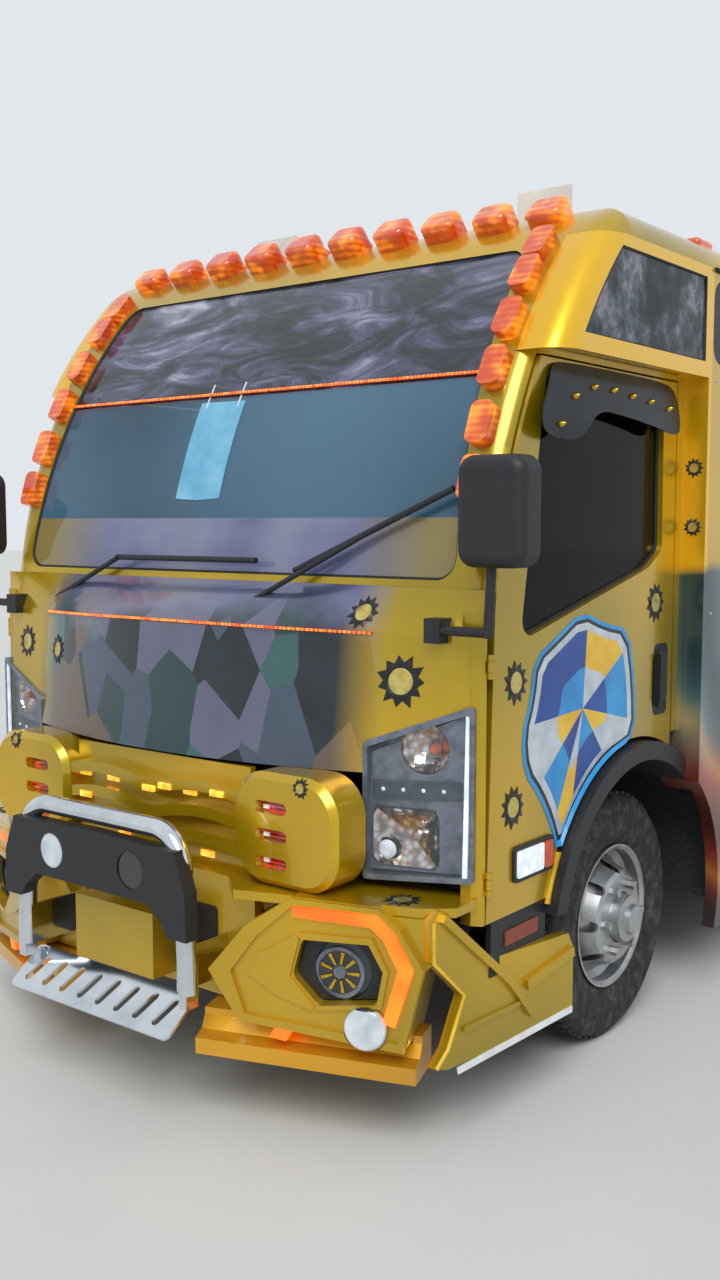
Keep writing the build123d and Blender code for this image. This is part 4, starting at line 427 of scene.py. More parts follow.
bowl_chrome, tree, shader, place = start_material("vacuum_plated_bowl", Metallic=1.0, Roughness=0.12)
facets = add_node(tree, "ShaderNodeTexVoronoi", {"Vector": place, "Scale": cells_of(bowl_facet_mm)})
# Colour by distance from each facet's middle: painted reflections, bright in the middle, warm and grey at the
# edge.
painted_facet_reflections = add_node(tree, "ShaderNodeValToRGB", {"Fac": facets.outputs["Distance"]}, (
    (0.0, "#F4F5F6"), (0.35, "#D5D9DC"), (0.55, "#C9A48E"), (0.8, "#8B939B")))
tree.links.new(painted_facet_reflections.outputs["Color"], shader.inputs["Base Color"])
bump = add_node(tree, "ShaderNodeBump", {
    "Height": facets.outputs["Distance"], "Strength": 0.3, "Distance": 0.004})
tree.links.new(bump.outputs[0], shader.inputs["Normal"])
print("lenses", amber_lens.name, red_lens.name, "bowl", bowl_chrome.name)

# %% [markdown]
# ## Plastic and rubber
# Moulded black parts are textured ABS that greys in the sun, and the pattern's grain is drawn
# at 4.5 mm, coarser than the mould's own, so that it shows. Seals are extruded rubber, dull and
# even. Tyres are carbon-black rubber with road dust in patches. The seats have a woven cover.

# %% Plastic, rubber and cloth


def speckled(name, stops, grain_mm, bump_mm, **uniform):
    """Material whose colour and relief come from one noise at a real grain size."""
    material, tree, shader, place = start_material(name, **uniform)
    grain = add_node(tree, "ShaderNodeTexNoise", {
        "Vector": place, "Scale": cells_of(grain_mm), "Detail": 5.0, "Roughness": 0.65})
    colour = add_node(tree, "ShaderNodeValToRGB", {"Fac": grain.outputs["Fac"]}, stops)
    tree.links.new(colour.outputs["Color"], shader.inputs["Base Color"])
    bump = add_node(tree, "ShaderNodeBump", {
        "Height": grain.outputs["Fac"], "Strength": 0.35, "Distance": bump_mm / 1000})
    tree.links.new(bump.outputs[0], shader.inputs["Normal"])
    return material


black_abs = speckled("textured_black_abs", ((0.3, "#0E0F11"), (0.7, "#24272B")), 4.545, 0.6, Roughness=0.5)
rubber_seal = speckled("extruded_rubber_seal", ((0.3, "#0A0A0B"), (0.7, "#1B1B1C")), 11.11, 0.4,
                       Roughness=0.65)
tyre_rubber = speckled("road_dusted_tyre_rubber", ((0.35, "#17171A"), (0.52, "#2B2B2D"), (0.7, "#54504A")),
                       38.46, 0.8, Roughness=0.82)
trim_plastic = speckled("grained_cabin_trim", ((0.3, "#2E2F31"), (0.7, "#47484A")), 6.25, 0.5,
                        Roughness=0.6)
floor_lining = speckled("ribbed_floor_lining", ((0.3, "#1C1C1D"), (0.7, "#38383A")), 16.67, 0.6,
                        Roughness=0.75)
seat_cloth = speckled("woven_seat_cover", ((0.3, "#1C1826"), (0.55, "#342B3E"), (0.75, "#5A3B42")),
                      13.33, 1.2, Roughness=0.9, Sheen_Weight=0.3)
print("plastic, rubber and cloth", len(bpy.data.materials), "materials so far")

# %% [markdown]
# ## Metal and enamel
# The chassis is brushed with enamel that holds road dust, the engine is an oily iron casting and
# the exhaust steel has dulled in the heat. The bull bar is polished stainless tube, so it is a
# sharp mirror. The wheels are pressed steel under silver paint, and blank plates are white
# enamel. Lamp bezels are plastic with a grey metal finish.

# %% Metal and enamel
chassis_paint = speckled("dusty_chassis_enamel", ((0.35, "#161617"), (0.55, "#2C2926"), (0.72, "#5E5446")),
                         142.9, 0.4, Roughness=0.7)
casting = speckled("oily_iron_casting", ((0.3, "#1D1C1B"), (0.6, "#3A3734"), (0.75, "#5B4F42")),
                   55.56, 0.8, Roughness=0.65, Metallic=0.4)
exhaust_steel = speckled("heat_dulled_steel", ((0.3, "#4A403A"), (0.7, "#7B6F66")), 71.43, 0.4,
                         Metallic=0.8, Roughness=0.5)
polished_tube = speckled("polished_stainless_tube", ((0.3, "#C4CBD2"), (0.7, "#E8ECEF")), 166.7, 0.05,
                         Metallic=1.0, Roughness=0.1)
wheel_silver = speckled("silver_painted_wheel", ((0.35, "#8D8E8F"), (0.55, "#B4B6B8"), (0.75, "#76706A")),
                        200, 0.2, Metallic=0.75, Roughness=0.35)
white_plate = speckled("blank_enamel_plate", ((0.3, "#D6D7D2"), (0.7, "#ECECE8")), 125, 0.1, Roughness=0.3)
lamp_grey = speckled("grey_lamp_bezel", ((0.3, "#565E6C"), (0.7, "#8C93A2")), 41.67, 0.05,
                     Metallic=0.5, Roughness=0.32)
print("metal and enamel", len(bpy.data.materials), "materials so far")

# %% [markdown]
# ## Faces of the round lamps
# Spot and fog lamps are one CAD node, but their faces differ: the two discs at the foot of the
# pods and the spot lamp on the right of the bar are pale, the others are dark. Simple masks from
# the place on the vehicle choose between a dark and a pale moulding.

# %% Faces of the round lamps
face_grain_mm = 50
pod_inner_x, disc_top_z = 0.4, 0.408
lamp_faces, tree, shader, place = start_material("moulded_lamp_faces", Roughness=0.14, Coat_Weight=0.8)
split = add_node(tree, "ShaderNodeSeparateXYZ", {"Vector": place})
grain = add_node(tree, "ShaderNodeTexNoise", {
    "Vector": place, "Scale": cells_of(face_grain_mm), "Detail": 2.0})
dark_face = add_node(tree, "ShaderNodeValToRGB", {"Fac": grain.outputs["Fac"]},
                     ((0.3, "#0B0E10"), (0.7, "#20262B")))
pale_face = add_node(tree, "ShaderNodeValToRGB", {"Fac": grain.outputs["Fac"]},
                     ((0.3, "#B4BFC8"), (0.7, "#DCE3E8")))
aside = add_node(tree, "ShaderNodeMath", {0: split.outputs["X"]}, operation="ABSOLUTE")
on_pod = add_node(tree, "ShaderNodeMath", {0: aside.outputs[0], 1: pod_inner_x}, operation="GREATER_THAN")
low_down = add_node(tree, "ShaderNodeMath", {0: split.outputs["Z"], 1: disc_top_z}, operation="LESS_THAN")
disc = add_node(tree, "ShaderNodeMath", {0: on_pod.outputs[0], 1: low_down.outputs[0]},
                operation="MULTIPLY")
offside = add_node(tree, "ShaderNodeMath", {0: split.outputs["X"], 1: 0.0}, operation="LESS_THAN")
off_pod = add_node(tree, "ShaderNodeMath", {0: 1.0, 1: on_pod.outputs[0]}, operation="SUBTRACT")
bright_spot = add_node(tree, "ShaderNodeMath", {0: offside.outputs[0], 1: off_pod.outputs[0]},
                       operation="MULTIPLY")
pale = add_node(tree, "ShaderNodeMath", {0: disc.outputs[0], 1: bright_spot.outputs[0]},
                operation="MAXIMUM")
face_colour = add_node(tree, "ShaderNodeMix", {
    "Factor": pale.outputs[0], 6: dark_face.outputs["Color"], 7: pale_face.outputs["Color"]},
    data_type="RGBA")
tree.links.new(face_colour.outputs[2], shader.inputs["Base Color"])
print("lamp faces", lamp_faces.name)

# %% [markdown]
# ## Which finish goes where
# A CAD node keeps its mesh and only gets a material. One table says which nodes each finish
# covers, so that a node without a finish is found at once.

# %% Give every CAD node its finish
finishes = {
    body_paint: ("cab_frame", "cab_door_left", "cab_door_right", "windscreen_frame", "roof",
                 "front_bumper", "grille", "rear_bumper"),
    lip_paint: ("lip_and_skirts",),
    coach_paint: ("side_left", "side_right", "rear_wall", "entry_door", "emergency_door", "boot_lid"),
    nose_paint: ("cab_front",),
    windscreen_glass: ("windscreen",),
    smoked_glass: ("cab_door_glass_left", "cab_door_glass_right", "entry_door_glass",
                   "emergency_door_glass"),
    saloon_pane: ("saloon_glass",),
    lamp_glass: ("headlamp_covers",),
    amber_lens: ("marker_lamps",),
    red_lens: ("red_lamps",),
    lamp_faces: ("fog_and_spot_lamps",),
    lamp_grey: ("headlamp_housings",),
    black_abs: ("arch_flares", "bar_panel", "mirrors", "wipers"),
    trim_plastic: ("dashboard",),
    floor_lining: ("floor",),
    chassis_paint: ("chassis_frame", "leaf_springs", "front_axle", "rear_axle", "knuckle_left",
                    "knuckle_right", "tie_rod", "propeller_shaft", "fuel_tank"),
    casting: ("engine",),
    exhaust_steel: ("exhaust",),
    polished_tube: ("bull_bar",),
    wheel_silver: ("wheel_front_left", "wheel_front_right", "wheel_rear_left", "wheel_rear_right"),
    tyre_rubber: ("tyre_front_left", "tyre_front_right", "tyres_rear_left", "tyres_rear_right"),
    white_plate: ("roof_sign_plates",),
    seat_cloth: ("seats",),
}
for material, names in finishes.items():
    for name in names:
        node = nodes[name]
        node.data.materials.clear()
        node.data.materials.append(material)
bare = set(nodes) - {name for names in finishes.values() for name in names}
print("nodes without a finish:", sorted(bare))

# %% [markdown]
# ## Floor and light
# A plain pale floor, an even pale surround and one large soft sun show the shapes without
# adding colour. The surround is brighter for the camera, and for what glass and metal mirror,
# than it is as a light, so white stays in the background and not on the paint.

# %% Floor and light
floor_half, floor_cloud_mm = 60, 666.7
floor_finish = clouded("pale_studio_floor", ((0.3, "#D5D6D4"), (0.7, "#D8D9D7")), floor_cloud_mm, 2.0,
                       Roughness=0.9)
floor_mesh = bpy.data.meshes.new("studio_floor")
floor_corners = [(x * floor_half, y * floor_half, 0) for x, y in ((-1, -1), (1, -1), (1, 1), (-1, 1))]
floor_mesh.from_pydata(floor_corners, [], [(0, 1, 2, 3)])
studio_floor = bpy.data.objects.new("studio_floor", floor_mesh)
studio_floor.data.materials.append(floor_finish)
scene.collection.objects.link(studio_floor)

light_level, seen_level = 0.62, 0.9
world = bpy.data.worlds.new("studio")
scene.world = world
world.use_nodes = True
tree = world.node_tree
tree.nodes.clear()
path = add_node(tree, "ShaderNodeLightPath")
through = add_node(tree, "ShaderNodeMath", {
    0: path.outputs["Is Transmission Ray"], 1: path.outputs["Is Glossy Ray"]}, operation="MAXIMUM")
seen = add_node(tree, "ShaderNodeMath", {0: path.outputs["Is Camera Ray"], 1: through.outputs[0]},
                operation="MAXIMUM")
strength = add_node(tree, "ShaderNodeMapRange", {
    "Value": seen.outputs[0], "To Min": light_level, "To Max": seen_level})
sky = add_node(tree, "ShaderNodeBackground", {
    "Color": linear("#EDF2F7"), "Strength": strength.outputs[0]})
add_node(tree, "ShaderNodeOutputWorld", {"Surface": sky.outputs[0]})

sun_data = bpy.data.lights.new("soft_sun", "SUN")
sun_data.energy = 1.9
sun_data.angle = math.radians(35)
sun = bpy.data.objects.new("soft_sun", sun_data)
sun.rotation_euler = Vector((-0.55, 0.75, -0.95)).to_track_quat("-Z", "Y").to_euler()
scene.collection.objects.link(sun)
print("floor", 2 * floor_half, "m wide, sun", sun_data.energy)

# %% [markdown]
# ## Small pieces: how they are made
# The fittings are of three kinds. Thin plates are cut from a flat outline, laid on the body by
# casting a ray at each corner, and given a back and an edge. Rows and rings of one small shape
# come from Geometry Nodes. Round things are spun from a profile. Each ends as a plain mesh of its
# own that rides on a body, so that it moves with its door or wheel.

# %% Mesh objects
weld_distance = 1e-6
crease_angle = math.radians(35)


def new_object(name, points, faces, finishes, regions=None, smooth=False):
    """Mesh object from points and faces, with one finish per region, facing outwards."""
    mesh = bpy.data.meshes.new(name)
    mesh.from_pydata([tuple(p) for p in points], [], faces)
    for finish in finishes:
        mesh.materials.append(finish)
    if regions:
        mesh.polygons.foreach_set("material_index", regions)
    shell = bmesh.new()
    shell.from_mesh(mesh)
    bmesh.ops.remove_doubles(shell, verts=shell.verts, dist=weld_distance)
    bmesh.ops.recalc_face_normals(shell, faces=shell.faces)
    for face in shell.faces:
        face.smooth = smooth
    shell.to_mesh(mesh)
    shell.free()
    if smooth:
        mesh.set_sharp_from_angle(angle=crease_angle)
    obj = bpy.data.objects.new(name, mesh)
    scene.collection.objects.link(obj)
    return obj


def plain_copy(obj):
    """The evaluated shape of an object as a plain mesh, modifiers applied."""
    evaluated = obj.evaluated_get(bpy.context.evaluated_depsgraph_get())
    return bpy.data.meshes.new_from_object(evaluated)


def joined(name, objects):
    """One object from several, each with its modifiers applied; the sources go."""
    whole = bmesh.new()
    finishes = []
    for obj in objects:
        mesh = plain_copy(obj)
        places = []
        for finish in mesh.materials:
            if finish not in finishes:
                finishes.append(finish)
            places.append(finishes.index(finish))
        first = len(whole.faces)
        whole.from_mesh(mesh)
        whole.faces.ensure_lookup_table()
        for face in whole.faces[first:]:
            face.material_index = places[face.material_index] if places else 0
        bpy.data.meshes.remove(mesh)
    mesh = bpy.data.meshes.new(name)
    whole.to_mesh(mesh)
    whole.free()
    for finish in finishes:
        mesh.materials.append(finish)
    for obj in objects:
        bpy.data.objects.remove(obj)
    obj = bpy.data.objects.new(name, mesh)
    scene.collection.objects.link(obj)
    return obj


def other_side(obj, name):
    """The same piece on the vehicle's right side."""
    mesh = plain_copy(obj)
    mesh.transform(Matrix.Scale(-1, 4, (1, 0, 0)))
    mesh.flip_normals()
    copy = bpy.data.objects.new(name, mesh)
    scene.collection.objects.link(copy)
    return copy


def fit_on(obj, body):
    """The piece rides on a body."""
    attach(obj, body)
    print(obj.name, "on", body, "faces", len(obj.data.polygons))


print("pieces end as plain meshes, creased from", round(math.degrees(crease_angle)), "degrees")

# %% [markdown]
# ## Laying a flat pattern on the body
# A pattern is drawn in two flat directions, as film is before it is stuck on. A place function
# turns a flat point and a rise into a point on the vehicle. One kind casts a ray at the CAD
# panels and so follows their curve, the other stays in its own plane.

# %% Place functions
leftward, forward, rearward, upward = (1, 0, 0), (0, -1, 0), (0, 1, 0), (0, 0, 1)
search_trees = {}


def surface_of(*names):
    """Search tree over the CAD nodes' triangles, for laying a piece on them."""
    if names not in search_trees:
        points, faces = [], []
        for name in names:
            mesh = nodes[name].data
            first = len(points)
            points += [v.co.copy() for v in mesh.vertices]
            faces += [[first + i for i in p.vertices] for p in mesh.polygons]
        search_trees[names] = BVHTree.FromPolygons(points, faces)
    return search_trees[names]


def laid_on(names, origin, across, up, out, reach=0.3):
    """Place function of a flat pattern laid on CAD nodes along one direction."""
    origin, across, up, out = Vector(origin), Vector(across), Vector(up), Vector(out)

    def place(u, v, rise):
        start = origin + across * u + up * v
        hit = surface_of(*names).ray_cast(start + out * reach, -out, 2 * reach)[0]
        return (hit or start) + out * rise

    return place


def flat_at(origin, across, up, out):
    """Place function of a flat pattern in its own plane."""
    origin, across, up, out = Vector(origin), Vector(across), Vector(up), Vector(out)
    return lambda u, v, rise: origin + across * u + up * v + out * rise


roof_hit = surface_of("roof").ray_cast(Vector((0, 0, 4)), Vector((0, 0, -1)))[0]
print("roof above the middle at", round(roof_hit.z, 3), "m")

# %% [markdown]
# ## Outlines
# Outlines are loops of flat points. They are drawn as rectangles with round corners, as circles
# or from a few corners that are then cut, which is how a pen would round them. Long edges are
# divided before they are laid on a curved panel.

# %% Loops of flat points


def within(point, loop):
    """Whether a flat point lies inside a closed loop."""
    x, y = point
    inside = False
    for (x0, y0), (x1, y1) in zip(loop, loop[1:] + loop[:1]):
        if (y0 > y) != (y1 > y) and x < (x1 - x0) * (y - y0) / (y1 - y0) + x0:
            inside = not inside
    return inside


def divided(loop, spacing):
    """Loop with its long edges divided, so that it can follow a curved panel."""
    points = []
    for (x0, y0), (x1, y1) in zip(loop, loop[1:] + loop[:1]):
        count = max(1, round(math.hypot(x1 - x0, y1 - y0) / spacing))
        points += [(x0 + (x1 - x0) * i / count, y0 + (y1 - y0) * i / count) for i in range(count)]
    return points


def inner_points(outline, spacing):
    """Grid of points inside an outline that keep clear of its corners."""
    us, vs = [p[0] for p in outline], [p[1] for p in outline]
    points = []
    for i in range(1, int((max(us) - min(us)) / spacing)):
        for j in range(1, int((max(vs) - min(vs)) / spacing)):
            p = (min(us) + i * spacing, min(vs) + j * spacing)
            if not within(p, outline):
                continue
            if min(math.hypot(p[0] - u, p[1] - v) for u, v in outline) > spacing / 3:
                points.append(Vector(p))
    return points


def rounded(u0, v0, u1, v1, r, steps=5):
    """Rectangle with round corners, as a loop of flat points."""
    corners = ((u1 - r, v1 - r, 0), (u0 + r, v1 - r, 90), (u0 + r, v0 + r, 180), (u1 - r, v0 + r, 270))
    loop = []
    for cu, cv, start in corners:
        for i in range(steps + 1):
            a = math.radians(start + 90 * i / steps)
            loop.append((cu + r * math.cos(a), cv + r * math.sin(a)))
    return loop


def circle(u, v, r, steps=32):
    """Circle as a loop of flat points."""
    return [(u + r * math.cos(2 * math.pi * i / steps), v + r * math.sin(2 * math.pi * i / steps))
            for i in range(steps)]


def smoothed(loop, rounds=2):
    """Loop with its corners cut, so that it runs as a drawn curve would."""
    for _ in range(rounds):
        loop = [p for (x0, y0), (x1, y1) in zip(loop, loop[1:] + loop[:1])
                for p in ((0.75 * x0 + 0.25 * x1, 0.75 * y0 + 0.25 * y1),
                          (0.25 * x0 + 0.75 * x1, 0.25 * y0 + 0.75 * y1))]
    return loop


print("a circle has", len(circle(0, 0, 1.0)), "points, a round-cornered plate", len(rounded(0, 0, 1, 1, 0.1)))

# %% [markdown]
# ## Thin plates and spun shapes
# A plate is triangulated once as a flat figure that also holds its inner lines, so that each
# colour ends on a clean edge. Then it gets a face, a back and a border. A round part is a
# profile of radius and height spun round its axis, as on a lathe.

# %% Plates and spun shapes
same_point = 1e-5
hidden_foot = -0.0005


def plate(name, outline, place, rise, finishes, loops=(), region=None, spacing=0.0, foot=hidden_foot):
    """Closed thin plate over a flat outline, split along loops, with a finish per region."""
    if spacing:
        outline = divided(outline, spacing)
    points = [Vector(p) for p in outline]
    edges = []
    for loop in loops:
        first = len(points)
        points += [Vector(p) for p in loop]
        edges += [(first + i, first + (i + 1) % len(loop)) for i in range(len(loop))]
    if spacing:
        points += inner_points(outline, spacing)
    border = [list(range(len(outline)))]
    flat, _, triangles, *_ = delaunay_2d_cdt(points, edges, border, 1, same_point)
    height = rise if callable(rise) else lambda u, v: rise
    count = len(flat)
    solid = [place(p.x, p.y, height(p.x, p.y)) for p in flat]
    solid += [place(p.x, p.y, foot) for p in flat]
    faces, regions, uses = [], [], {}
    for triangle in triangles:
        centre = sum((flat[i] for i in triangle), Vector((0, 0))) / len(triangle)
        index = region(centre) if region else 0
        if index < 0:
            continue
        faces += [list(triangle), [count + i for i in reversed(triangle)]]
        regions += [index, index]
        for a, b in zip(triangle, list(triangle[1:]) + [triangle[0]]):
            uses.setdefault(frozenset((a, b)), []).append((a, b, index))
    for found in uses.values():
        if len(found) == 1:
            a, b, index = found[0]
            faces.append([b, a, count + a, count + b])
            regions.append(index)
    return new_object(name, solid, faces, finishes, regions)


def spun(name, profile, steps, finish):
    """Closed profile of (radius, height) points spun round the Z axis."""
    points, faces = [], []
    for i in range(steps):
        a = 2 * math.pi * i / steps
        points += [(r * math.cos(a), r * math.sin(a), h) for r, h in profile]
    count = len(profile)
    on_axis = profile[0][0] < weld_distance
    for i in range(steps):
        for j in range(count - 1 if on_axis else count):
            a, b = i * count, (i + 1) % steps * count
            k = (j + 1) % count
            faces.append([a + j, b + j, b + k, a + k])
    return new_object(name, points, faces, [finish], smooth=True)


print("plates reach", round(-hidden_foot * 1000, 1), "mm into the panel they lie on")

# %% [markdown]
# ## Geometry Nodes for what repeats
# Tread blocks stand in a ring round a wheel, diodes sit in a row along a path, studs on marked
# points, and seals follow the rim of a pane. These are four small trees. Each takes its sizes and
# its seed shape as named inputs and ends in real mesh, because instances are lost in an export.

# %% Start and end of a tree


def new_tree(name, inputs):
    """Empty geometry tree with named inputs; returns the tree and its input node."""
    tree = bpy.data.node_groups.new(name, "GeometryNodeTree")
    tree.interface.new_socket("Geometry", in_out="INPUT", socket_type="NodeSocketGeometry")
    for label, kind in inputs.items():
        tree.interface.new_socket(label, in_out="INPUT", socket_type="NodeSocket" + kind)
    tree.interface.new_socket("Geometry", in_out="OUTPUT", socket_type="NodeSocketGeometry")
    return tree, tree.nodes.new("NodeGroupInput").outputs


def end_tree(tree, geometry, finish):
    """Ends a tree in real mesh with a finish."""
    real = add_node(tree, "GeometryNodeRealizeInstances", {"Geometry": geometry})
    painted = add_node(tree, "GeometryNodeSetMaterial", {"Geometry": real.outputs[0], "Material": finish})
    return painted.outputs[0]


print("every tree ends in Realize Instances and Set Material")

# %% [markdown]
# ## Ring of copies
# The seed shape is set on the corners of a circle and turned so that its X axis points outwards.
# The shape that carries the modifier stays in, so tread, ribs and carcass are one piece.

# %% Ring tree
ring_tree, given = new_tree("ring_of_copies", {
    "Count": "Int", "Radius": "Float", "Seed": "Object", "Finish": "Material"})
hoop = add_node(ring_tree, "GeometryNodeMeshCircle", {"Vertices": given["Count"], "Radius": given["Radius"]})
corner = add_node(ring_tree, "GeometryNodeInputPosition")
outwards = add_node(ring_tree, "FunctionNodeAlignRotationToVector", {
    "Vector": corner.outputs[0]}, axis="X", pivot_axis="Z")
seed = add_node(ring_tree, "GeometryNodeObjectInfo", {"Object": given["Seed"], "As Instance": True})
copies = add_node(ring_tree, "GeometryNodeInstanceOnPoints", {
    "Points": hoop.outputs[0], "Instance": seed.outputs["Geometry"], "Rotation": outwards.outputs[0]})
both = add_node(ring_tree, "GeometryNodeJoinGeometry")
ring_tree.links.new(end_tree(ring_tree, copies.outputs[0], given["Finish"]), both.inputs[0])
ring_tree.links.new(given["Geometry"], both.inputs[0])
add_node(ring_tree, "NodeGroupOutput", {0: both.outputs[0]})
print("tree", ring_tree.name, len(ring_tree.nodes), "nodes")

# %% [markdown]
# ## Row on a path
# The path is divided at an even pitch. Each copy faces one given way and is then turned about
# it until it lies along the path, as a diode or a rivet would.

# %% Row tree
row_tree, given = new_tree("row_on_a_path", {
    "Pitch": "Float", "Facing": "Vector", "Seed": "Object", "Finish": "Material"})
path = add_node(row_tree, "GeometryNodeMeshToCurve", {"Mesh": given["Geometry"]})
spots = add_node(row_tree, "GeometryNodeResampleCurve", {
    "Curve": path.outputs[0], "Length": given["Pitch"]}, mode="LENGTH")
facing = add_node(row_tree, "FunctionNodeAlignRotationToVector", {"Vector": given["Facing"]}, axis="Z")
tangent = add_node(row_tree, "GeometryNodeInputTangent")
along = add_node(row_tree, "FunctionNodeAlignRotationToVector", {
    "Rotation": facing.outputs[0], "Vector": tangent.outputs[0]}, axis="X", pivot_axis="Z")
seed = add_node(row_tree, "GeometryNodeObjectInfo", {"Object": given["Seed"], "As Instance": True})
copies = add_node(row_tree, "GeometryNodeInstanceOnPoints", {
    "Points": spots.outputs[0], "Instance": seed.outputs["Geometry"], "Rotation": along.outputs[0]})
add_node(row_tree, "NodeGroupOutput", {0: end_tree(row_tree, copies.outputs[0], given["Finish"])})
print("tree", row_tree.name, len(row_tree.nodes), "nodes")

# %% [markdown]
# ## Copies on points, and a seal
# Studs and lamp chips stand on loose points that each carry the direction they face. A seal is a
# round section drawn along a path with closed ends, smooth because rubber has no edges.

# %% Point tree and seal tree
seal_sides = 8
spot_tree, given = new_tree("copies_on_points", {"Seed": "Object", "Finish": "Material"})
way = add_node(spot_tree, "GeometryNodeInputNamedAttribute", {"Name": "facing"}, data_type="FLOAT_VECTOR")
facing = add_node(spot_tree, "FunctionNodeAlignRotationToVector", {"Vector": way.outputs[0]}, axis="Z")
seed = add_node(spot_tree, "GeometryNodeObjectInfo", {"Object": given["Seed"], "As Instance": True})
copies = add_node(spot_tree, "GeometryNodeInstanceOnPoints", {
    "Points": given["Geometry"], "Instance": seed.outputs["Geometry"], "Rotation": facing.outputs[0]})
add_node(spot_tree, "NodeGroupOutput", {0: end_tree(spot_tree, copies.outputs[0], given["Finish"])})

seal_tree, given = new_tree("seal_on_a_path", {"Radius": "Float", "Finish": "Material"})
path = add_node(seal_tree, "GeometryNodeMeshToCurve", {"Mesh": given["Geometry"]})
section = add_node(seal_tree, "GeometryNodeCurvePrimitiveCircle", {
    "Resolution": seal_sides, "Radius": given["Radius"]})
tube = add_node(seal_tree, "GeometryNodeCurveToMesh", {
    "Curve": path.outputs[0], "Profile Curve": section.outputs[0], "Fill Caps": True})
soft = add_node(seal_tree, "GeometryNodeSetShadeSmooth", {"Geometry": tube.outputs[0]})
add_node(seal_tree, "NodeGroupOutput", {0: end_tree(seal_tree, soft.outputs[0], given["Finish"])})
print("trees", [tree.name for tree in bpy.data.node_groups])

# %% [markdown]
# ## Paths, points and seeds
# A tree needs something to grow on: a line of edges, or loose points that know which way they
# face. Its seed is a small block with a narrower top or a small dome. Seeds are taken out of the
# scene as soon as the piece that uses them is a plain mesh.

# %% What the trees grow on


def grow(base, tree, **inputs):
    """Adds a tree to an object as a modifier and sets its inputs by their identifiers."""
    modifier = base.modifiers.new(tree.name, "NODES")
    modifier.node_group = tree
    for socket in tree.interface.items_tree:
        if socket.in_out == "INPUT" and socket.name in inputs:
            modifier[socket.identifier] = inputs[socket.name]
    return base



def path_object(name, points, closed=False):
    """Line of edges through points, for a row or a seal."""
    mesh = bpy.data.meshes.new(name)
    count = len(points)
    edges = [(i, (i + 1) % count) for i in range(count if closed else count - 1)]
    mesh.from_pydata([tuple(p) for p in points], edges, [])
    obj = bpy.data.objects.new(name, mesh)
    scene.collection.objects.link(obj)
    return obj


def marked_points(name, spots):
    """Loose points, each with the direction that its copy faces."""
    mesh = bpy.data.meshes.new(name)
    mesh.from_pydata([tuple(p) for p, _ in spots], [], [])
    facing = mesh.attributes.new("facing", "FLOAT_VECTOR", "POINT")
    facing.data.foreach_set("vector", [c for _, way in spots for c in way])
    obj = bpy.data.objects.new(name, mesh)
    scene.collection.objects.link(obj)
    return obj


box_faces = [[3, 2, 1, 0], [4, 5, 6, 7], [0, 1, 5, 4], [1, 2, 6, 5], [2, 3, 7, 6], [3, 0, 4, 7]]
square = ((-1, -1), (1, -1), (1, 1), (-1, 1))


def seed_block(name, length, width, height, taper=0.75):
    """Small block with a narrower top, foot at zero, as the seed of a row or ring."""
    points, faces = [], []
    for h, k in ((0.0, 1.0), (height * 0.7, 0.96), (height, taper)):
        points += [(sx * length / 2 * k, sy * width / 2 * k, h) for sx, sy in square]
    for ring in (0, 4):
        faces += [[ring + i, ring + (i + 1) % 4, ring + 4 + (i + 1) % 4, ring + 4 + i] for i in range(4)]
    faces += [[3, 2, 1, 0], [8, 9, 10, 11]]
    return new_object(name, points, faces, [])


def seed_dome(name, radius, height, point=1.0):
    """Small dome or spike, foot at zero; a lower point draws its top in."""
    profile = [(0.0, height), (radius * 0.45 * point, height * 0.86), (radius * 0.8, height * 0.45),
               (radius, 0.0), (0.0, 0.0)]
    return spun(name, profile, 10, None)


print("a seed box has", len(box_faces), "faces")

# %% [markdown]
# ## Tyres
# A tyre is a rubber ring with a rounded wall, grooves between tread blocks and fine ribs near
# the shoulder. The wall is a spun profile; the blocks and ribs are rings of one seed shape. The
# CAD tyre stays for contact and this one is shown in its place, with the same outer size.

# %% Section, tread and ribs of a tyre
tread_foot, tread_depth, block_count = 0.3925, 0.009, 62
rib_radius, rib_out, rib_count = 0.336, 0.1108, 72
# Radius and distance from the tyre's middle plane, from the bead to the crown.
wall_profile = (
    (0.2235, 0.082), (0.232, 0.089), (0.244, 0.097), (0.262, 0.1045), (0.285, 0.109), (0.290, 0.1105),
    (0.294, 0.1095), (0.322, 0.1122), (0.350, 0.1095), (0.354, 0.1105), (0.359, 0.1085), (0.378, 0.101),
    (0.389, 0.091), (0.3930, 0.080), (0.3932, 0.040), (0.3934, 0.0))
tyre_section = list(wall_profile) + [(r, -o) for r, o in reversed(wall_profile[:-1])]
# Distance of a block row from the middle plane, width and length of a block, shift round the tyre.
tread_rows = (
    (0.0, 0.026, 0.029, 0.004), (0.031, 0.024, 0.027, 0.0), (-0.031, 0.024, 0.027, 0.0),
    (0.066, 0.033, 0.023, 0.006), (-0.066, 0.033, 0.023, 0.006))
on_its_side = Matrix(((0, 0, 1, 0), (1, 0, 0, 0), (0, 1, 0, 0), (0, 0, 0, 1)))
blocks = []
for offset, width, length, shift in tread_rows:
    block = seed_block("block", length, width, tread_depth, 0.9)
    block.data.transform(Matrix.Translation((0, shift, offset)) @ on_its_side)
    blocks.append(block)
tread_seed = joined("tread_seed", blocks)
rib_seed = new_object("rib_seed", [
    (-0.009, -0.0012, 0.0), (0.009, -0.0012, 0.0), (0.009, 0.0012, 0.0), (-0.009, 0.0012, 0.0),
    (-0.008, -0.0008, 0.0022), (0.008, -0.0008, 0.0016), (0.008, 0.0008, 0.0016), (-0.008, 0.0008, 0.0022)],
    box_faces, [])
rib_seed.data.transform(Matrix.Translation((0, 0, rib_out)))
print("tread of", block_count, "rings of blocks, outer radius", round(tread_foot + tread_depth, 4))

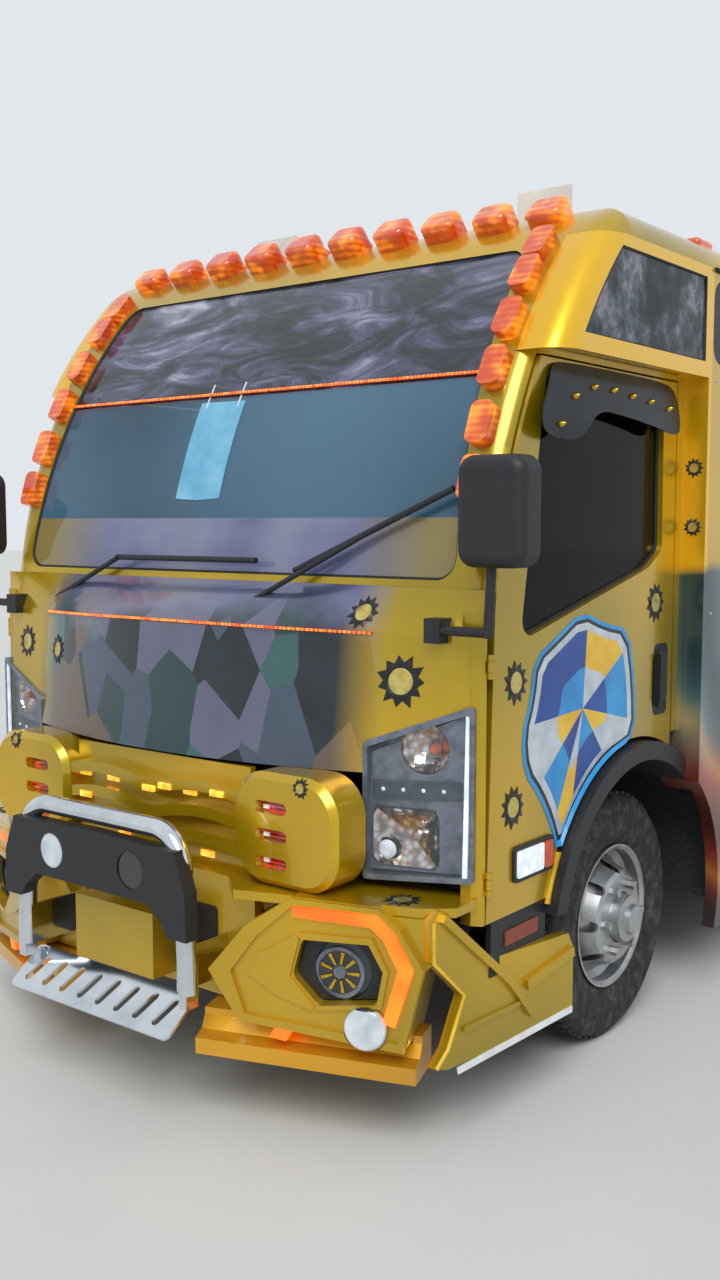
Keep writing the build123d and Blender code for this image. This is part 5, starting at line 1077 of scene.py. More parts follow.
# %% [markdown]
# ## Six tyres on four wheels
# Front wheels carry one tyre each, rear wheels carry two side by side, and each wheel's rubber is
# one piece. The profile is spun about Z, so each tyre is turned to lie along the axle. On the
# right it is turned once more, so that its outer face looks out there too.

# %% Tyres
axle_z, tyre_steps, tyre_crease = 0.402, 96, math.radians(40)


def tyre_at(name, centres, y):
    """One piece of one or more tyres whose middles are at the given distances from the middle."""
    tyres = []
    for x in centres:
        ring = spun("carcass", tyre_section, tyre_steps, tyre_rubber)
        grow(ring, ring_tree, Count=block_count, Radius=tread_foot, Seed=tread_seed, Finish=tyre_rubber)
        grow(ring, ring_tree, Count=rib_count, Radius=rib_radius, Seed=rib_seed, Finish=tyre_rubber)
        one = joined("tyre", [ring])
        turn = Matrix(((0, 0, 1, x), (1, 0, 0, y), (0, 1, 0, axle_z), (0, 0, 0, 1)))
        if x < 0:
            turn = turn @ Matrix.Rotation(math.pi, 4, "X")
        one.data.transform(turn)
        tyres.append(one)
    whole = joined(name, tyres)
    whole.data.set_sharp_from_angle(angle=tyre_crease)
    return whole


# Axle, word in the CAD node's name, tyre middles from the vehicle's middle, place along it.
axle_tyres = (
    ("front", "tyre", (0.840,), at(0.0)), ("rear", "tyres", (0.6975, 0.9525), at(rear_axle_behind)))
for side, sign in sides:
    for axle, word, centres, y in axle_tyres:
        piece = tyre_at(f"treaded_tyre_{axle}_{side}", [sign * c for c in centres], y)
        fit_on(piece, f"wheel_{axle}_{side}")
        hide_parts(f"{word}_{axle}_{side}")
for seed_object in (tread_seed, rib_seed):
    bpy.data.objects.remove(seed_object)

# %% [markdown]
# ## Lit strips
# Two strips of orange diodes cross the front: one under the screen's top print and one over the
# nose. Each is a soft silicone sleeve with a bead every 14 mm. The beads glow a little above the
# paint, and the sleeve is matt.

# %% Lit strips
bead_pitch, sleeve_radius, bead_rise, line_steps = 0.014, 0.0045, 0.0035, 48
ahead_y = -4.2
lit_diode = clouded("lit_orange_diode", ((0.35, "#E0441A"), (0.65, "#FF8A3A")), 16.67, 1.0, lit=True,
                    Roughness=0.25, Emission_Strength=1.6)
sleeve = speckled("orange_silicone_sleeve", ((0.3, "#A83312"), (0.7, "#D5561E")), 16.67, 0.2, Roughness=0.4)
# Height, ends across, bow of the middle, lift off the panel, way the beads face, panels behind.
strip_lines = (
    (2.083, -0.864, 0.864, 0.0, 0.005, (0, -0.9, 0.42), ("windscreen", "cab_frame", "windscreen_frame")),
    (1.372, -0.668, 0.69, 0.012, 0.006, (0, -1, 0.1), ("cab_front",)))
bead = seed_block("bead", 0.0095, 0.007, 0.004)
strips = []
for z, low, high, bow, lift, facing, names in strip_lines:
    tilt = Vector(facing)
    line = []
    for i in range(line_steps + 1):
        x = low + (high - low) * i / line_steps
        start = Vector((x, ahead_y, z + bow * math.cos(x * 2)))
        hit = surface_of(*names).ray_cast(start, Vector(rearward))[0]
        line.append(hit + Vector((0, -lift, 0.002)))
    strips.append(grow(path_object("sleeve_path", line), seal_tree, Radius=sleeve_radius, Finish=sleeve))
    beads = path_object("bead_path", [p + tilt.normalized() * bead_rise for p in line])
    strips.append(grow(beads, row_tree, Pitch=bead_pitch, Facing=tilt, Seed=bead, Finish=lit_diode))
fit_on(joined("lit_strips", strips), "body")
bpy.data.objects.remove(bead)

# %% [markdown]
# ## Rubber seals
# Every pane sits in a black extruded seal. The rim of each pane is found on the CAD glass as the
# border of the faces that look outwards, and a thin round section follows it.

# %% Rims of the panes
shortest_rim, rim_weld, least_facing = 0.5, 2e-5, 0.75


def rims_of(node, out):
    """Closed loops of points round the faces of a node that look one way."""
    shell = bmesh.new()
    shell.from_mesh(nodes[node].data)
    bmesh.ops.remove_doubles(shell, verts=shell.verts, dist=rim_weld)
    shell.normal_update()
    facing = {f for f in shell.faces if f.normal.dot(Vector(out)) > least_facing}
    follow = {}
    for edge in shell.edges:
        if sum(f in facing for f in edge.link_faces) == 1:
            a, b = edge.verts
            follow.setdefault(a, []).append(b)
            follow.setdefault(b, []).append(a)
    loops = []
    while follow:
        here = next(iter(follow))
        loop = [here]
        while follow.get(here):
            there = follow[here].pop()
            follow[there].remove(here)
            if not follow[here]:
                del follow[here]
            here = there
            if here is loop[0]:
                break
            loop.append(here)
        if not follow.get(here, True):
            del follow[here]
        length = sum((p.co - q.co).length for p, q in zip(loop, loop[1:]))
        if len(loop) > 2 and length > shortest_rim:
            loops.append([p.co.copy() for p in loop])
    shell.free()
    return loops


print("windscreen rims", len(rims_of("windscreen", (0, -0.85, 0.5))))

# %% Seals round the panes
# Body, radius of its seals, and its panes, each with the way that its outer face looks.
sealed_panes = (
    ("body", 0.0065, (("windscreen", (0, -0.85, 0.5)), ("saloon_glass", (1, 0, 0)),
                      ("saloon_glass", (-1, 0, 0)), ("saloon_glass", (0, 1, 0)))),
    ("cab_door_left", 0.0075, (("cab_door_glass_left", (1, 0, 0)),)),
    ("cab_door_right", 0.0075, (("cab_door_glass_right", (-1, 0, 0)),)),
    ("entry_door", 0.0065, (("entry_door_glass", (1, 0, 0)),)),
    ("emergency_door", 0.0065, (("emergency_door_glass", (-1, 0, 0)),)))
for body, radius, panes in sealed_panes:
    seals = []
    for node, out in panes:
        for loop in rims_of(node, out):
            rim = path_object("rim", loop, closed=True)
            seals.append(grow(rim, seal_tree, Radius=radius, Finish=rubber_seal))
    fit_on(joined(f"seals_of_{body}", seals), body)

# %% [markdown]
# ## Wind deflectors over the door glass
# A dark acrylic visor hangs from the top of each cab window and leans outwards at its foot, with
# a row of brass cone studs. The outline is drawn flat and leans as a function of height. Acrylic
# is smooth and dark with a weak shine; spun brass is a sharp warm mirror.

# %% Door visors
visor_x, visor_top_z, visor_drop, visor_lean, visor_sheet = 1.0125, 2.122, 0.18, 0.032, 0.0035
smoked_acrylic = clouded("smoked_acrylic_sheet", ((0.35, "#11151A"), (0.7, "#20262E")), 142.9, 3.0,
                         Roughness=0.2, Specular_IOR_Level=0.22)
spun_brass = speckled("spun_brass_stud", ((0.3, "#B98A1E"), (0.7, "#E8C24A")), 11.11, 0.05,
                      Metallic=1.0, Roughness=0.2)
visor_loop = smoothed([
    (-3.168, 1.965), (-3.156, 1.912), (-3.046, 1.900), (-2.965, 1.908), (-2.913, 1.933),
    (-2.868, 1.975), (-2.800, 1.996), (-2.720, 1.992), (-2.560, 1.979), (-2.444, 1.966),
    (-2.330, 1.948), (-2.285, 1.970), (-2.278, 2.050), (-2.300, 2.104), (-2.400, 2.116),
    (-2.600, 2.119), (-3.000, 2.119), (-3.074, 2.108), (-3.112, 2.040)])
stud_places = ((-3.069, 1.942), (-2.969, 2.026), (-2.850, 2.060), (-2.728, 2.061), (-2.610, 2.052),
               (-2.487, 2.045), (-2.359, 2.032))


def visor_place(y, z, rise):
    """Point of the visor: flush at its top, leaning 32 mm out at its foot."""
    lean = visor_lean * min(1.0, max(0.0, (visor_top_z - z) / visor_drop)) ** 0.8
    return Vector((visor_x + lean + rise, y, z))


stud_seed = seed_dome("stud", 0.0095, 0.017, 0.6)
stud_spots = [(visor_place(y, z, visor_sheet), Vector((1, 0, 0.2))) for y, z in stud_places]
visor = plate("visor", visor_loop, visor_place, visor_sheet, [smoked_acrylic], spacing=0.03)
studs = grow(marked_points("stud_points", stud_spots), spot_tree, Seed=stud_seed, Finish=spun_brass)
visor_left = joined("door_visor_left", [visor, studs])
fit_on(other_side(visor_left, "door_visor_right"), "cab_door_right")
fit_on(visor_left, "cab_door_left")
bpy.data.objects.remove(stud_seed)

# %% [markdown]
# ## Toothed ring ornaments
# Round ornaments with a black toothed rim and a pale brass middle are stuck on the nose, doors and
# jambs. Each is one plate cut in two regions and laid on the panel behind it. The teeth differ a
# little, from one fixed seed, as hand-cut film does. Black film is glossy, brass film satin.

# %% One ring ornament
random.seed(41)
ring_teeth, circle_steps = 11, 28
brass_share, bead_share = 0.46, 0.54
black_film = speckled("gloss_black_film", ((0.3, "#0B0C0D"), (0.7, "#1A1B1D")), 25, 0.05, Roughness=0.3)
brass_film = speckled("brushed_brass_film", ((0.3, "#8D7428"), (0.55, "#D8C774"), (0.75, "#B49A3C")),
                      62.5, 0.05, Metallic=0.7, Roughness=0.3)


def toothed_ring(name, place, radius):
    """Black toothed rim round a brass middle, with a raised bead between them."""
    outer = []
    for i in range(2 * ring_teeth):
        a = math.pi * i / ring_teeth
        r = radius * (random.uniform(0.88, 1.0) if i % 2 == 0 else random.uniform(0.60, 0.68))
        outer.append((r * math.cos(a), r * math.sin(a)))
    middle = circle(0, 0, radius * brass_share, circle_steps)
    rim = circle(0, 0, radius * bead_share, circle_steps)

    def region(p):
        return 1 if p.length < radius * brass_share else 0

    def rise(u, v):
        far = math.hypot(u, v) / radius
        return 0.0022 if far < 0.5 else (0.0050 if far < 0.62 else 0.0018)

    return plate(name, outer, place, rise, [black_film, brass_film], loops=(rim, middle), region=region)


print("ring of", ring_teeth, "teeth")

# %% Ring ornaments
# X, Z and radius on the nose and on the grille; Z and radius on the jambs; Y, Z and radius on a door.
nose_spots = ((0.646, 1.430, 0.047), (0.788, 1.252, 0.078), (-0.591, 1.256, 0.052), (-0.826, 1.264, 0.060))
grille_spots = ((0.612, 0.972, 0.030), (-0.612, 0.972, 0.030))
jamb_spots = ((1.852, 0.034), (1.659, 0.034))
door_spots = ((-2.372, 1.418, 0.066), (-3.226, 1.244, 0.064), (-3.235, 0.903, 0.062))
shelf_spot, shelf_radius = (0.849, -3.520, 0.690), 0.055
jamb_x, jamb_y, door_x = 1.052, -2.2, 1.02

nose_rings = []
for x, z, radius in nose_spots:
    place = laid_on(("cab_front",), (x, -3.5, z), leftward, upward, forward)
    nose_rings.append(toothed_ring("ring", place, radius))
for x, z, radius in grille_spots:
    place = laid_on(("grille",), (x, -3.6, z), leftward, upward, forward)
    nose_rings.append(toothed_ring("ring", place, radius))
for side, sign in sides:
    for z, radius in jamb_spots:
        corner = (sign * jamb_x, jamb_y, z)
        place = laid_on(("side_left", "side_right"), corner, leftward, upward, forward, 0.1)
        nose_rings.append(toothed_ring("ring", place, radius))
for side, sign in sides:
    x, y, z = shelf_spot
    place = laid_on(("front_bumper", "lip_and_skirts"), (sign * x, y, z), leftward, rearward, upward, 0.06)
    nose_rings.append(toothed_ring("ring", place, shelf_radius))
fit_on(joined("ring_ornaments_of_body", nose_rings), "body")
for side, sign in sides:
    rings = []
    for y, z, radius in door_spots:
        place = laid_on((f"cab_door_{side}",), (sign * door_x, y, z), (0, sign, 0), upward, (sign, 0, 0), 0.1)
        rings.append(toothed_ring("ring", place, radius))
    fit_on(joined(f"ring_ornaments_of_{side}_door", rings), f"cab_door_{side}")

# %% [markdown]
# ## Shield on the cab door
# A large film shield with bright blue, black and silver borders fills the foot of each cab door.
# Its middle is a plain design of facets in blue, yellow and white. The borders are the outline
# drawn smaller, the facets are triangles round a few fixed points. Film is smooth and bright with
# an even colour, so its clouds are large and faint.

# %% Films and outline of the shield
blue_film = speckled("bright_blue_film", ((0.3, "#1C7FC4"), (0.7, "#2FA4E2")), 166.7, 0.05, Roughness=0.3)
navy_film = speckled("deep_blue_film", ((0.3, "#123A86"), (0.7, "#2054AC")), 166.7, 0.05, Roughness=0.3)
yellow_film = speckled("yellow_film", ((0.3, "#D9A51C"), (0.7, "#F2C93A")), 166.7, 0.05, Roughness=0.3)
silver_film = speckled("silver_film", ((0.3, "#AEB9C4"), (0.7, "#DCE3EA")), 100, 0.05,
                       Metallic=0.4, Roughness=0.3)
flare_centre, flare_reach = (-2.507, 0.425), 0.570
shield_centre = (-2.850, 1.130)
shield_corners = [
    (-3.130, 1.300), (-3.010, 1.352), (-2.862, 1.418), (-2.720, 1.372), (-2.560, 1.345), (-2.512, 1.180),
    (-2.500, 1.010), (-2.620, 0.980), (-2.730, 0.950), (-2.840, 0.880), (-2.930, 0.800), (-2.985, 0.720),
    (-3.030, 0.815), (-3.095, 0.905), (-3.178, 0.985), (-3.196, 1.090), (-3.150, 1.190)]


def clear_of_flare(u, v):
    """The point, moved out of the wheel arch flare where it lies in it."""
    du, dv = u - flare_centre[0], v - flare_centre[1]
    far = math.hypot(du, dv)
    grown = max(1.0, flare_reach / far)
    return (flare_centre[0] + du * grown, flare_centre[1] + dv * grown)


def scaled(loop, k):
    """Loop drawn smaller about the middle of the shield."""
    cu, cv = shield_centre
    return [(cu + (u - cu) * k, cv + (v - cv) * k) for u, v in loop]



shield_loop = [clear_of_flare(u, v) for u, v in smoothed(shield_corners, 1)]
print("shield outline of", len(shield_loop), "points")

# %% Door shields
border_shares, waist_share, facet_count = (0.955, 0.915, 0.835), 0.44, 9
borders = [scaled(shield_loop, k) for k in border_shares]
waist = scaled(shield_loop, waist_share)
field = borders[-1]
starts = [round(i * len(field) / facet_count) for i in range(facet_count + 1)]
sectors = []
for first, last in zip(starts, starts[1:]):
    sectors.append([shield_centre] + [field[k % len(field)] for k in range(first, last + 1)])
shield_films = [blue_film, black_film, silver_film, navy_film, yellow_film, blue_film, silver_film]


def shield_region(p):
    """Border of the shield, or the colour of the facet that a point lies in."""
    point = (p.x, p.y)
    for index, loop in enumerate(borders):
        if not within(point, loop):
            return index
    sector = next((i for i, loop in enumerate(sectors) if within(point, loop)), 0)
    return len(borders) + (sector + (2 if within(point, waist) else 0)) % 4



for side, sign in sides:
    place = laid_on((f"cab_door_{side}",), (sign * door_x, 0, 0), rearward, upward, (sign, 0, 0), 0.06)
    shield = plate(f"door_shield_{side}", shield_loop, place, 0.002, shield_films,
                   loops=borders + [waist] + sectors, region=shield_region)
    fit_on(shield, f"cab_door_{side}")

# %% [markdown]
# ## Door handles
# A black lever stands in the recess of each cab door, with a lock barrel under it. The lever is a
# plate with a raised middle, since its ends are let into the recess.

# %% Door handles
handle_x, lever_ends, lock_at = 1.0105, (1.09, 1.25), (1.0115, -2.298, 1.10)
lock_profile = [(0.0, 0.004), (0.008, 0.004), (0.010, 0.002), (0.010, 0.0), (0.0, 0.0)]


def lever_rise(u, v):
    """Height of the lever, more between its ends."""
    return 0.018 if lever_ends[0] < v < lever_ends[1] else 0.010


for side, sign in sides:
    place = flat_at((sign * handle_x, 0, 0), rearward, upward, (sign, 0, 0))
    well = plate("well", rounded(-2.374, 1.050, -2.276, 1.282, 0.022), place, 0.0012, [black_abs])
    lever = plate("lever", rounded(-2.358, 1.075, -2.318, 1.262, 0.014), place, lever_rise, [black_abs],
                  spacing=0.012)
    lock = spun("lock", lock_profile, 16, polished_tube)
    x, y, z = lock_at
    lock.data.transform(Matrix.Translation((sign * x, y, z)) @ Matrix.Rotation(sign * math.pi / 2, 4, "Y"))
    fit_on(joined(f"door_handle_{side}", [well, lever, lock]), f"cab_door_{side}")

# %% [markdown]
# ## Headlamp pan
# Behind each clear cover is a plated pan with a round main bowl, a faceted dip bowl, a dark band
# between them, and a white light guide at the side. The pan is one relief over the cover's
# outline: depth is a function of place, cut along the rims of the bowls. The guide is frosted
# acrylic with a faint glow, the mask is matt slate film.

# %% Headlamp pan
lamp_turn = math.radians(14.8)
lamp_across = (math.cos(lamp_turn), math.sin(lamp_turn), 0)
lamp_out = (math.sin(lamp_turn), -math.cos(lamp_turn), 0)
lamp_place = flat_at((0.694, -3.488, 0), lamp_across, upward, lamp_out)
light_guide = clouded("white_light_guide", ((0.3, "#C8D4E2"), (0.7, "#F2F6FA")), 25, 2.0, lit=True,
                      Roughness=0.2, Emission_Strength=0.35)
slate_film = speckled("slate_lamp_mask", ((0.3, "#2E3A42"), (0.7, "#46555E")), 50, 0.05, Roughness=0.35)
pan_loop = [(0.006, 0.732), (0.280, 0.742), (0.291, 1.172), (0.014, 1.054)]
main_centre, main_radius, lip_share = (0.170, 1.074), 0.070, 0.93
dip_centre, dip_half = (0.113, 0.825), (0.099, 0.083)
dip_rim = rounded(0.014, 0.742, 0.212, 0.908, 0.03)
dip_field = rounded(0.019, 0.747, 0.207, 0.903, 0.028)
band_rim = [(0.018, 0.928), (0.276, 0.940), (0.278, 0.992), (0.020, 0.980)]


def pan_depth(u, v):
    """How far the pan lies behind the cover at a place, as a negative rise."""
    far = math.hypot(u - main_centre[0], v - main_centre[1]) / main_radius
    if far < 0.999:
        return -0.022 - 0.040 * (1 - far ** 2)
    if within((u, v), dip_rim):
        share = max(abs(u - dip_centre[0]) / dip_half[0], abs(v - dip_centre[1]) / dip_half[1])
        return -0.020 - 0.034 * (1 - share ** 2)
    return -0.012 if within((u, v), band_rim) else -0.018


def pan_region(p):
    """Finish of the pan: bezel, plating or dark mask."""
    point = (p.x, p.y)
    in_bowl = math.hypot(p.x - main_centre[0], p.y - main_centre[1]) < main_radius
    if in_bowl or within(point, dip_field):
        return 1
    return 2 if within(point, dip_rim) or within(point, band_rim) else 0


main_rims = (circle(*main_centre, main_radius), circle(*main_centre, main_radius * lip_share))
pan = plate("pan", pan_loop, lamp_place, pan_depth, [lamp_grey, bowl_chrome, slate_film],
            loops=main_rims + (dip_rim, dip_field, band_rim), region=pan_region, spacing=0.009, foot=-0.066)
guide_loop = [(0.2835, 0.735), (0.297, 0.735), (0.3045, 1.190), (0.2915, 1.186)]
guide = plate("guide", guide_loop, lamp_place, 0.0035, [light_guide], foot=-0.004)
print("pan", len(pan.data.polygons), "faces, guide", len(guide.data.polygons))

# %% [markdown]
# ## Round parts of the headlamp
# In the bowls stand an orange bulb in its collar, a small projector with its ring and a plated
# cap, all spun from profiles. Four frosted diodes sit in the dark band. The right lamp is the
# left one mirrored.

# %% Round parts of the headlamp
bulb_glass = speckled("orange_bulb_glass", ((0.3, "#B8401C"), (0.7, "#F0863A")), 20, 0.05, Roughness=0.1)
bulb_profile = [(0.0, 0.034), (0.009, 0.031), (0.014, 0.020), (0.014, 0.0), (0.0, 0.0)]
collar_profile = [(0.0, 0.010), (0.020, 0.010), (0.024, 0.004), (0.024, 0.0), (0.0, 0.0)]
projector_profile = [(0.0, 0.032), (0.016, 0.029), (0.025, 0.018), (0.028, 0.010), (0.030, 0.0), (0.0, 0.0)]
ring_profile = [(0.026, 0.018), (0.033, 0.018), (0.035, 0.0), (0.026, 0.0)]
cap_profile = [(0.0, 0.026), (0.013, 0.022), (0.017, 0.010), (0.017, 0.0), (0.0, 0.0)]
# Name, place across and up, depth behind the cover, profile, finish.
round_parts = (
    ("bulb", 0.190, 1.070, -0.058, bulb_profile, bulb_glass),
    ("bulb_collar", 0.190, 1.070, -0.061, collar_profile, lamp_grey),
    ("projector", 0.056, 0.786, -0.050, projector_profile, light_guide),
    ("projector_ring", 0.056, 0.786, -0.052, ring_profile, black_film),
    ("dip_cap", 0.140, 0.830, -0.054, cap_profile, bowl_chrome))
upright = Matrix(((lamp_across[0], 0, lamp_out[0]), (lamp_across[1], 0, lamp_out[1]), (0, 1, 0))).to_4x4()
parts = [pan, guide]
for name, u, v, depth, profile, finish in round_parts:
    round_part = spun(name, profile, 28, finish)
    round_part.data.transform(Matrix.Translation(lamp_place(u, v, depth)) @ upright)
    parts.append(round_part)
diode = seed_dome("diode", 0.006, 0.005)
dots = [(lamp_place(0.052 + 0.058 * i, 0.957 + 0.002 * i, -0.012), Vector(lamp_out)) for i in range(4)]
parts.append(grow(marked_points("band_dots", dots), spot_tree, Seed=diode, Finish=light_guide))
left_lamp = joined("lamp_left", parts)
right_lamp = other_side(left_lamp, "lamp_right")
fit_on(joined("headlamp_insides", [left_lamp, right_lamp]), "body")
bpy.data.objects.remove(diode)

# %% [markdown]
# ## Lights in the grille and beside it
# Amber diode modules sit in the grille's slots, and three pale chips stand above each other at
# each side of it. A module glows evenly through its resin, so its colour has one soft noise.

# %% Diode modules and chips
module_places = (
    (-0.340, 0.890), (-0.208, 0.887), (0.069, 0.905), (0.130, 0.889), (0.283, 0.911), (-0.287, 0.834),
    (0.200, 0.716), (-0.160, 0.716), (0.000, 0.890))
chip_x, chip_y, chip_heights = 0.468, -3.630, (0.900, 0.823, 0.751)
amber_diode = clouded("lit_amber_module", ((0.35, "#E8871A"), (0.65, "#FFC04A")), 22.22, 1.0, lit=True,
                      Roughness=0.3, Emission_Strength=1.5)
module = seed_block("module", 0.052, 0.018, 0.008, 0.8)
spots = []
for x, z in module_places:
    hit = surface_of("grille").ray_cast(Vector((x, ahead_y, z)), Vector(rearward))[0]
    if hit:
        spots.append((hit, Vector(forward)))
lamps = [grow(marked_points("module_points", spots), spot_tree, Seed=module, Finish=amber_diode)]
chip = seed_block("chip", 0.020, 0.011, 0.006, 0.8)
chip_spots = []
for side, sign in sides:
    chip_spots += [(Vector((sign * chip_x, chip_y, z)), Vector(forward)) for z in chip_heights]
lamps.append(grow(marked_points("chip_points", chip_spots), spot_tree, Seed=chip, Finish=light_guide))
print("modules", len(spots), "chips", len(chip_spots))

# %% [markdown]
# ## Faces of the pod lamps
# The lamp in each bumper pod has a dark face with a grey hub and rim, and a ring of brass spokes
# between them. The pods are turned a little outwards, so the face is made flat and then stood up
# in the pod's own plane.

# %% Pod lamp faces
pod_turn = math.radians(19.3)
face_at, face_lift, spoke_count, spoke_radius = (0.710, -3.611, 0.481), 0.0005, 9, 0.041
hub_profile = [(0.0, 0.006), (0.016, 0.005), (0.020, 0.0), (0.0, 0.0)]
rim_profile = [(0.060, 0.004), (0.070, 0.005), (0.074, 0.0), (0.058, 0.0)]
spoke = new_object("spoke_seed", [
    (-0.020, -0.0035, 0), (0.016, -0.006, 0), (0.016, 0.006, 0), (-0.020, 0.0035, 0),
    (-0.019, -0.0025, 0.003), (0.015, -0.005, 0.003), (0.015, 0.005, 0.003), (-0.019, 0.0025, 0.003)],
    box_faces, [])
for side, sign in sides:
    out = Vector((sign * math.sin(pod_turn), -math.cos(pod_turn), 0))
    across = Vector((math.cos(pod_turn), sign * math.sin(pod_turn), 0))
    stand = Matrix((across, Vector(upward), out)).transposed().to_4x4()
    hub = spun("hub", hub_profile, 20, lamp_grey)
    rim = spun("rim", rim_profile, 40, lamp_grey)
    grow(rim, ring_tree, Count=spoke_count, Radius=spoke_radius, Seed=spoke, Finish=spun_brass)
    face = joined("pod_face", [hub, rim])
    x, y, z = face_at
    face.data.transform(Matrix.Translation(Vector((sign * x, y, z)) + out * face_lift) @ stand)
    lamps.append(face)
print("pod faces turned out by", round(math.degrees(pod_turn), 1), "degrees")

# %% [markdown]
# ## Black mesh round the pod lamps
# Each lamp sits in a deep hole behind a sheet of black mesh with a round opening, and a strip of
# the same mesh fills the slot beside it in the bumper. Mesh is drawn as a fine dark relief. The
# place functions of a pod and of a skirt are kept, because the trim below lies in them too.

# %% Pod bezels and bumper mesh
skirt_turn = math.radians(84)


def pod_place(sign):
    """Place function in the plane of a pod's face; the left one is 1, the right one -1."""
    across = (sign * math.cos(pod_turn), math.sin(pod_turn), 0)
    out = (sign * math.sin(pod_turn), -math.cos(pod_turn), 0)
    return flat_at((sign * 0.340, at(-1.290), 0), across, upward, out)


def skirt_place(sign):
    """Place function in the plane of a skirt."""
    across = (sign * math.cos(skirt_turn), math.sin(skirt_turn), 0)
    out = (sign * math.sin(skirt_turn), -math.cos(skirt_turn), 0)
    return flat_at((sign * 0.975, at(-1.068), 0), across, upward, out)


def outside_lamp(p):
    """The mesh itself, or nothing in the round opening for the lamp."""
    return -1 if math.hypot(p.x - opening[0], p.y - opening[1]) < opening[2] else 0


black_mesh = speckled("black_mesh_insert", ((0.35, "#060707"), (0.65, "#23282A")), 8.333, 1.5, Roughness=0.45)
pod_hole = [(0.290, 0.470), (0.316, 0.573), (0.500, 0.577), (0.537, 0.511), (0.521, 0.425), (0.360, 0.405)]
opening = (0.418, 0.492, 0.080)
slot_loop = rounded(0.172, 0.380, 0.286, 0.585, 0.012)
for side, sign in sides:
    lamps.append(plate("pod_bezel", pod_hole, pod_place(sign), -0.030, [black_mesh],
                       loops=(circle(*opening),), region=outside_lamp, foot=-0.105))
for side, sign in sides:
    bumper_place = laid_on(("front_bumper",), (0, -3.70, 0), (sign, 0, 0), upward, forward)
    lamps.append(plate("bumper_mesh", slot_loop, bumper_place, 0.003, [black_mesh], spacing=0.02))
fit_on(joined("grille_and_pod_lights", lamps), "body")
for seed_object in (module, spoke, chip):
    bpy.data.objects.remove(seed_object)

# %% [markdown]
# ## Blank card behind the screen
# A pale card hangs from two white ties behind the screen's brow and stays blank here. It is laid
# on the glass, so it leans and curves with it. Card is matt, reflective film a clean white.

# %% Blank card
white_film = speckled("white_reflective_film", ((0.3, "#D6DADD"), (0.7, "#F1F3F4")), 50, 0.05, Roughness=0.35)
pale_card = speckled("pale_blue_card", ((0.3, "#4F9CC2"), (0.7, "#8CC6DF")), 200, 0.1, Roughness=0.6)
tie_width, tie_foot, tie_top = 0.005, -0.02, 0.06
card_loop = [(-0.216, 0.0), (-0.021, -0.002), (-0.023, -0.312), (-0.120, -0.318), (-0.217, -0.312)]
card_place = laid_on(("windscreen",), (0, -3.20, 2.062), leftward, upward, forward, 0.5)
flats = [plate("card", card_loop, card_place, 0.0022, [pale_card], spacing=0.03, foot=0.0006)]
for u in (-0.19, -0.05):
    tie_loop = [(u, tie_foot), (u + tie_width, tie_foot), (u + tie_width, tie_top), (u, tie_top)]
    flats.append(plate("tie", tie_loop, card_place, 0.0032, [white_film], spacing=0.02))
print("card and ties", sum(len(obj.data.polygons) for obj in flats), "faces")

# %% [markdown]
# ## Small flat fittings
# Film strips, reflectors, the side lamps and the mirror glasses are thin plates. Their outlines
# are a few corners, and their places were measured on the photograph. Lenses are smooth and
# saturated, and the mirror is silvered glass that is nearly a perfect reflector.

# %% Flat fittings at the sides
orange_film = speckled("orange_side_lens", ((0.3, "#B83A18"), (0.7, "#DE5A26")), 14.29, 0.3, Roughness=0.2)
dark_reflector = speckled("dark_orange_reflector", ((0.3, "#6E2812"), (0.7, "#98421E")), 14.29, 0.3,
                          Roughness=0.3)
mirror_silver = clouded("silvered_mirror_glass", ((0.3, "#C9D0D4"), (0.7, "#DDE3E6")), 166.7, 2.0,
                        Metallic=1.0, Roughness=0.03)
skirt_strip_loop = [(0.100, 0.241), (0.622, 0.263), (0.622, 0.244), (0.104, 0.222)]
slant_loop = [(-2.972, 0.724), (-2.990, 0.728), (-3.052, 0.590), (-3.034, 0.585)]
board_loop = [(-3.330, 0.450), (-3.040, 0.450), (-3.040, 0.614), (-3.330, 0.614)]
wall_x, mirror_x, mirror_y = 1.0100, 1.083, -3.4085
mirror_place = flat_at((0, mirror_y, 0), leftward, upward, rearward)
# Name, outline, inner lines, rise, foot and finish of the plates that lie on the cab's side wall.
wall_plates = (
    ("bezel", rounded(-3.236, 0.690, -3.022, 0.790, 0.014), (rounded(-3.226, 0.700, -3.032, 0.780, 0.010),),
     0.009, hidden_foot, black_abs),
    ("side_lens", rounded(-3.224, 0.702, -3.082, 0.778, 0.008), (), 0.013, 0.008, light_guide),
    ("side_amber", rounded(-3.078, 0.702, -3.034, 0.778, 0.008), (), 0.014, 0.008, orange_film),
    ("slant_strip", slant_loop, (), 0.009, -0.002, yellow_film),
    ("sill_board", board_loop, (), -0.006, -0.022, black_abs),
    ("reflector", rounded(-3.262, 0.520, -3.088, 0.562, 0.006), (), -0.002, -0.008, dark_reflector))
for side, sign in sides:
    flats.append(plate("skirt_strip", skirt_strip_loop, skirt_place(sign), 0.0035, [white_film],
                       spacing=0.05, foot=-0.001))
    wall = flat_at((sign * wall_x, 0, 0), rearward, upward, (sign, 0, 0))
    for name, outline, loops, rise, foot, finish in wall_plates:
        flats.append(plate(name, outline, wall, rise, [finish], loops=loops, foot=foot))
    mirror_loop = rounded(sign * mirror_x - 0.080, 1.584, sign * mirror_x + 0.080, 1.820, 0.02)
    flats.append(plate("mirror_glass", mirror_loop, mirror_place, 0.002, [mirror_silver], foot=0.0002))
rear_place = flat_at((0, 3.849, 0), leftward, upward, rearward)
rear_plate = plate("rear_plate", rounded(-0.26, 0.90, 0.26, 1.01, 0.008), rear_place, 0.002, [white_plate],
                   spacing=0.1)
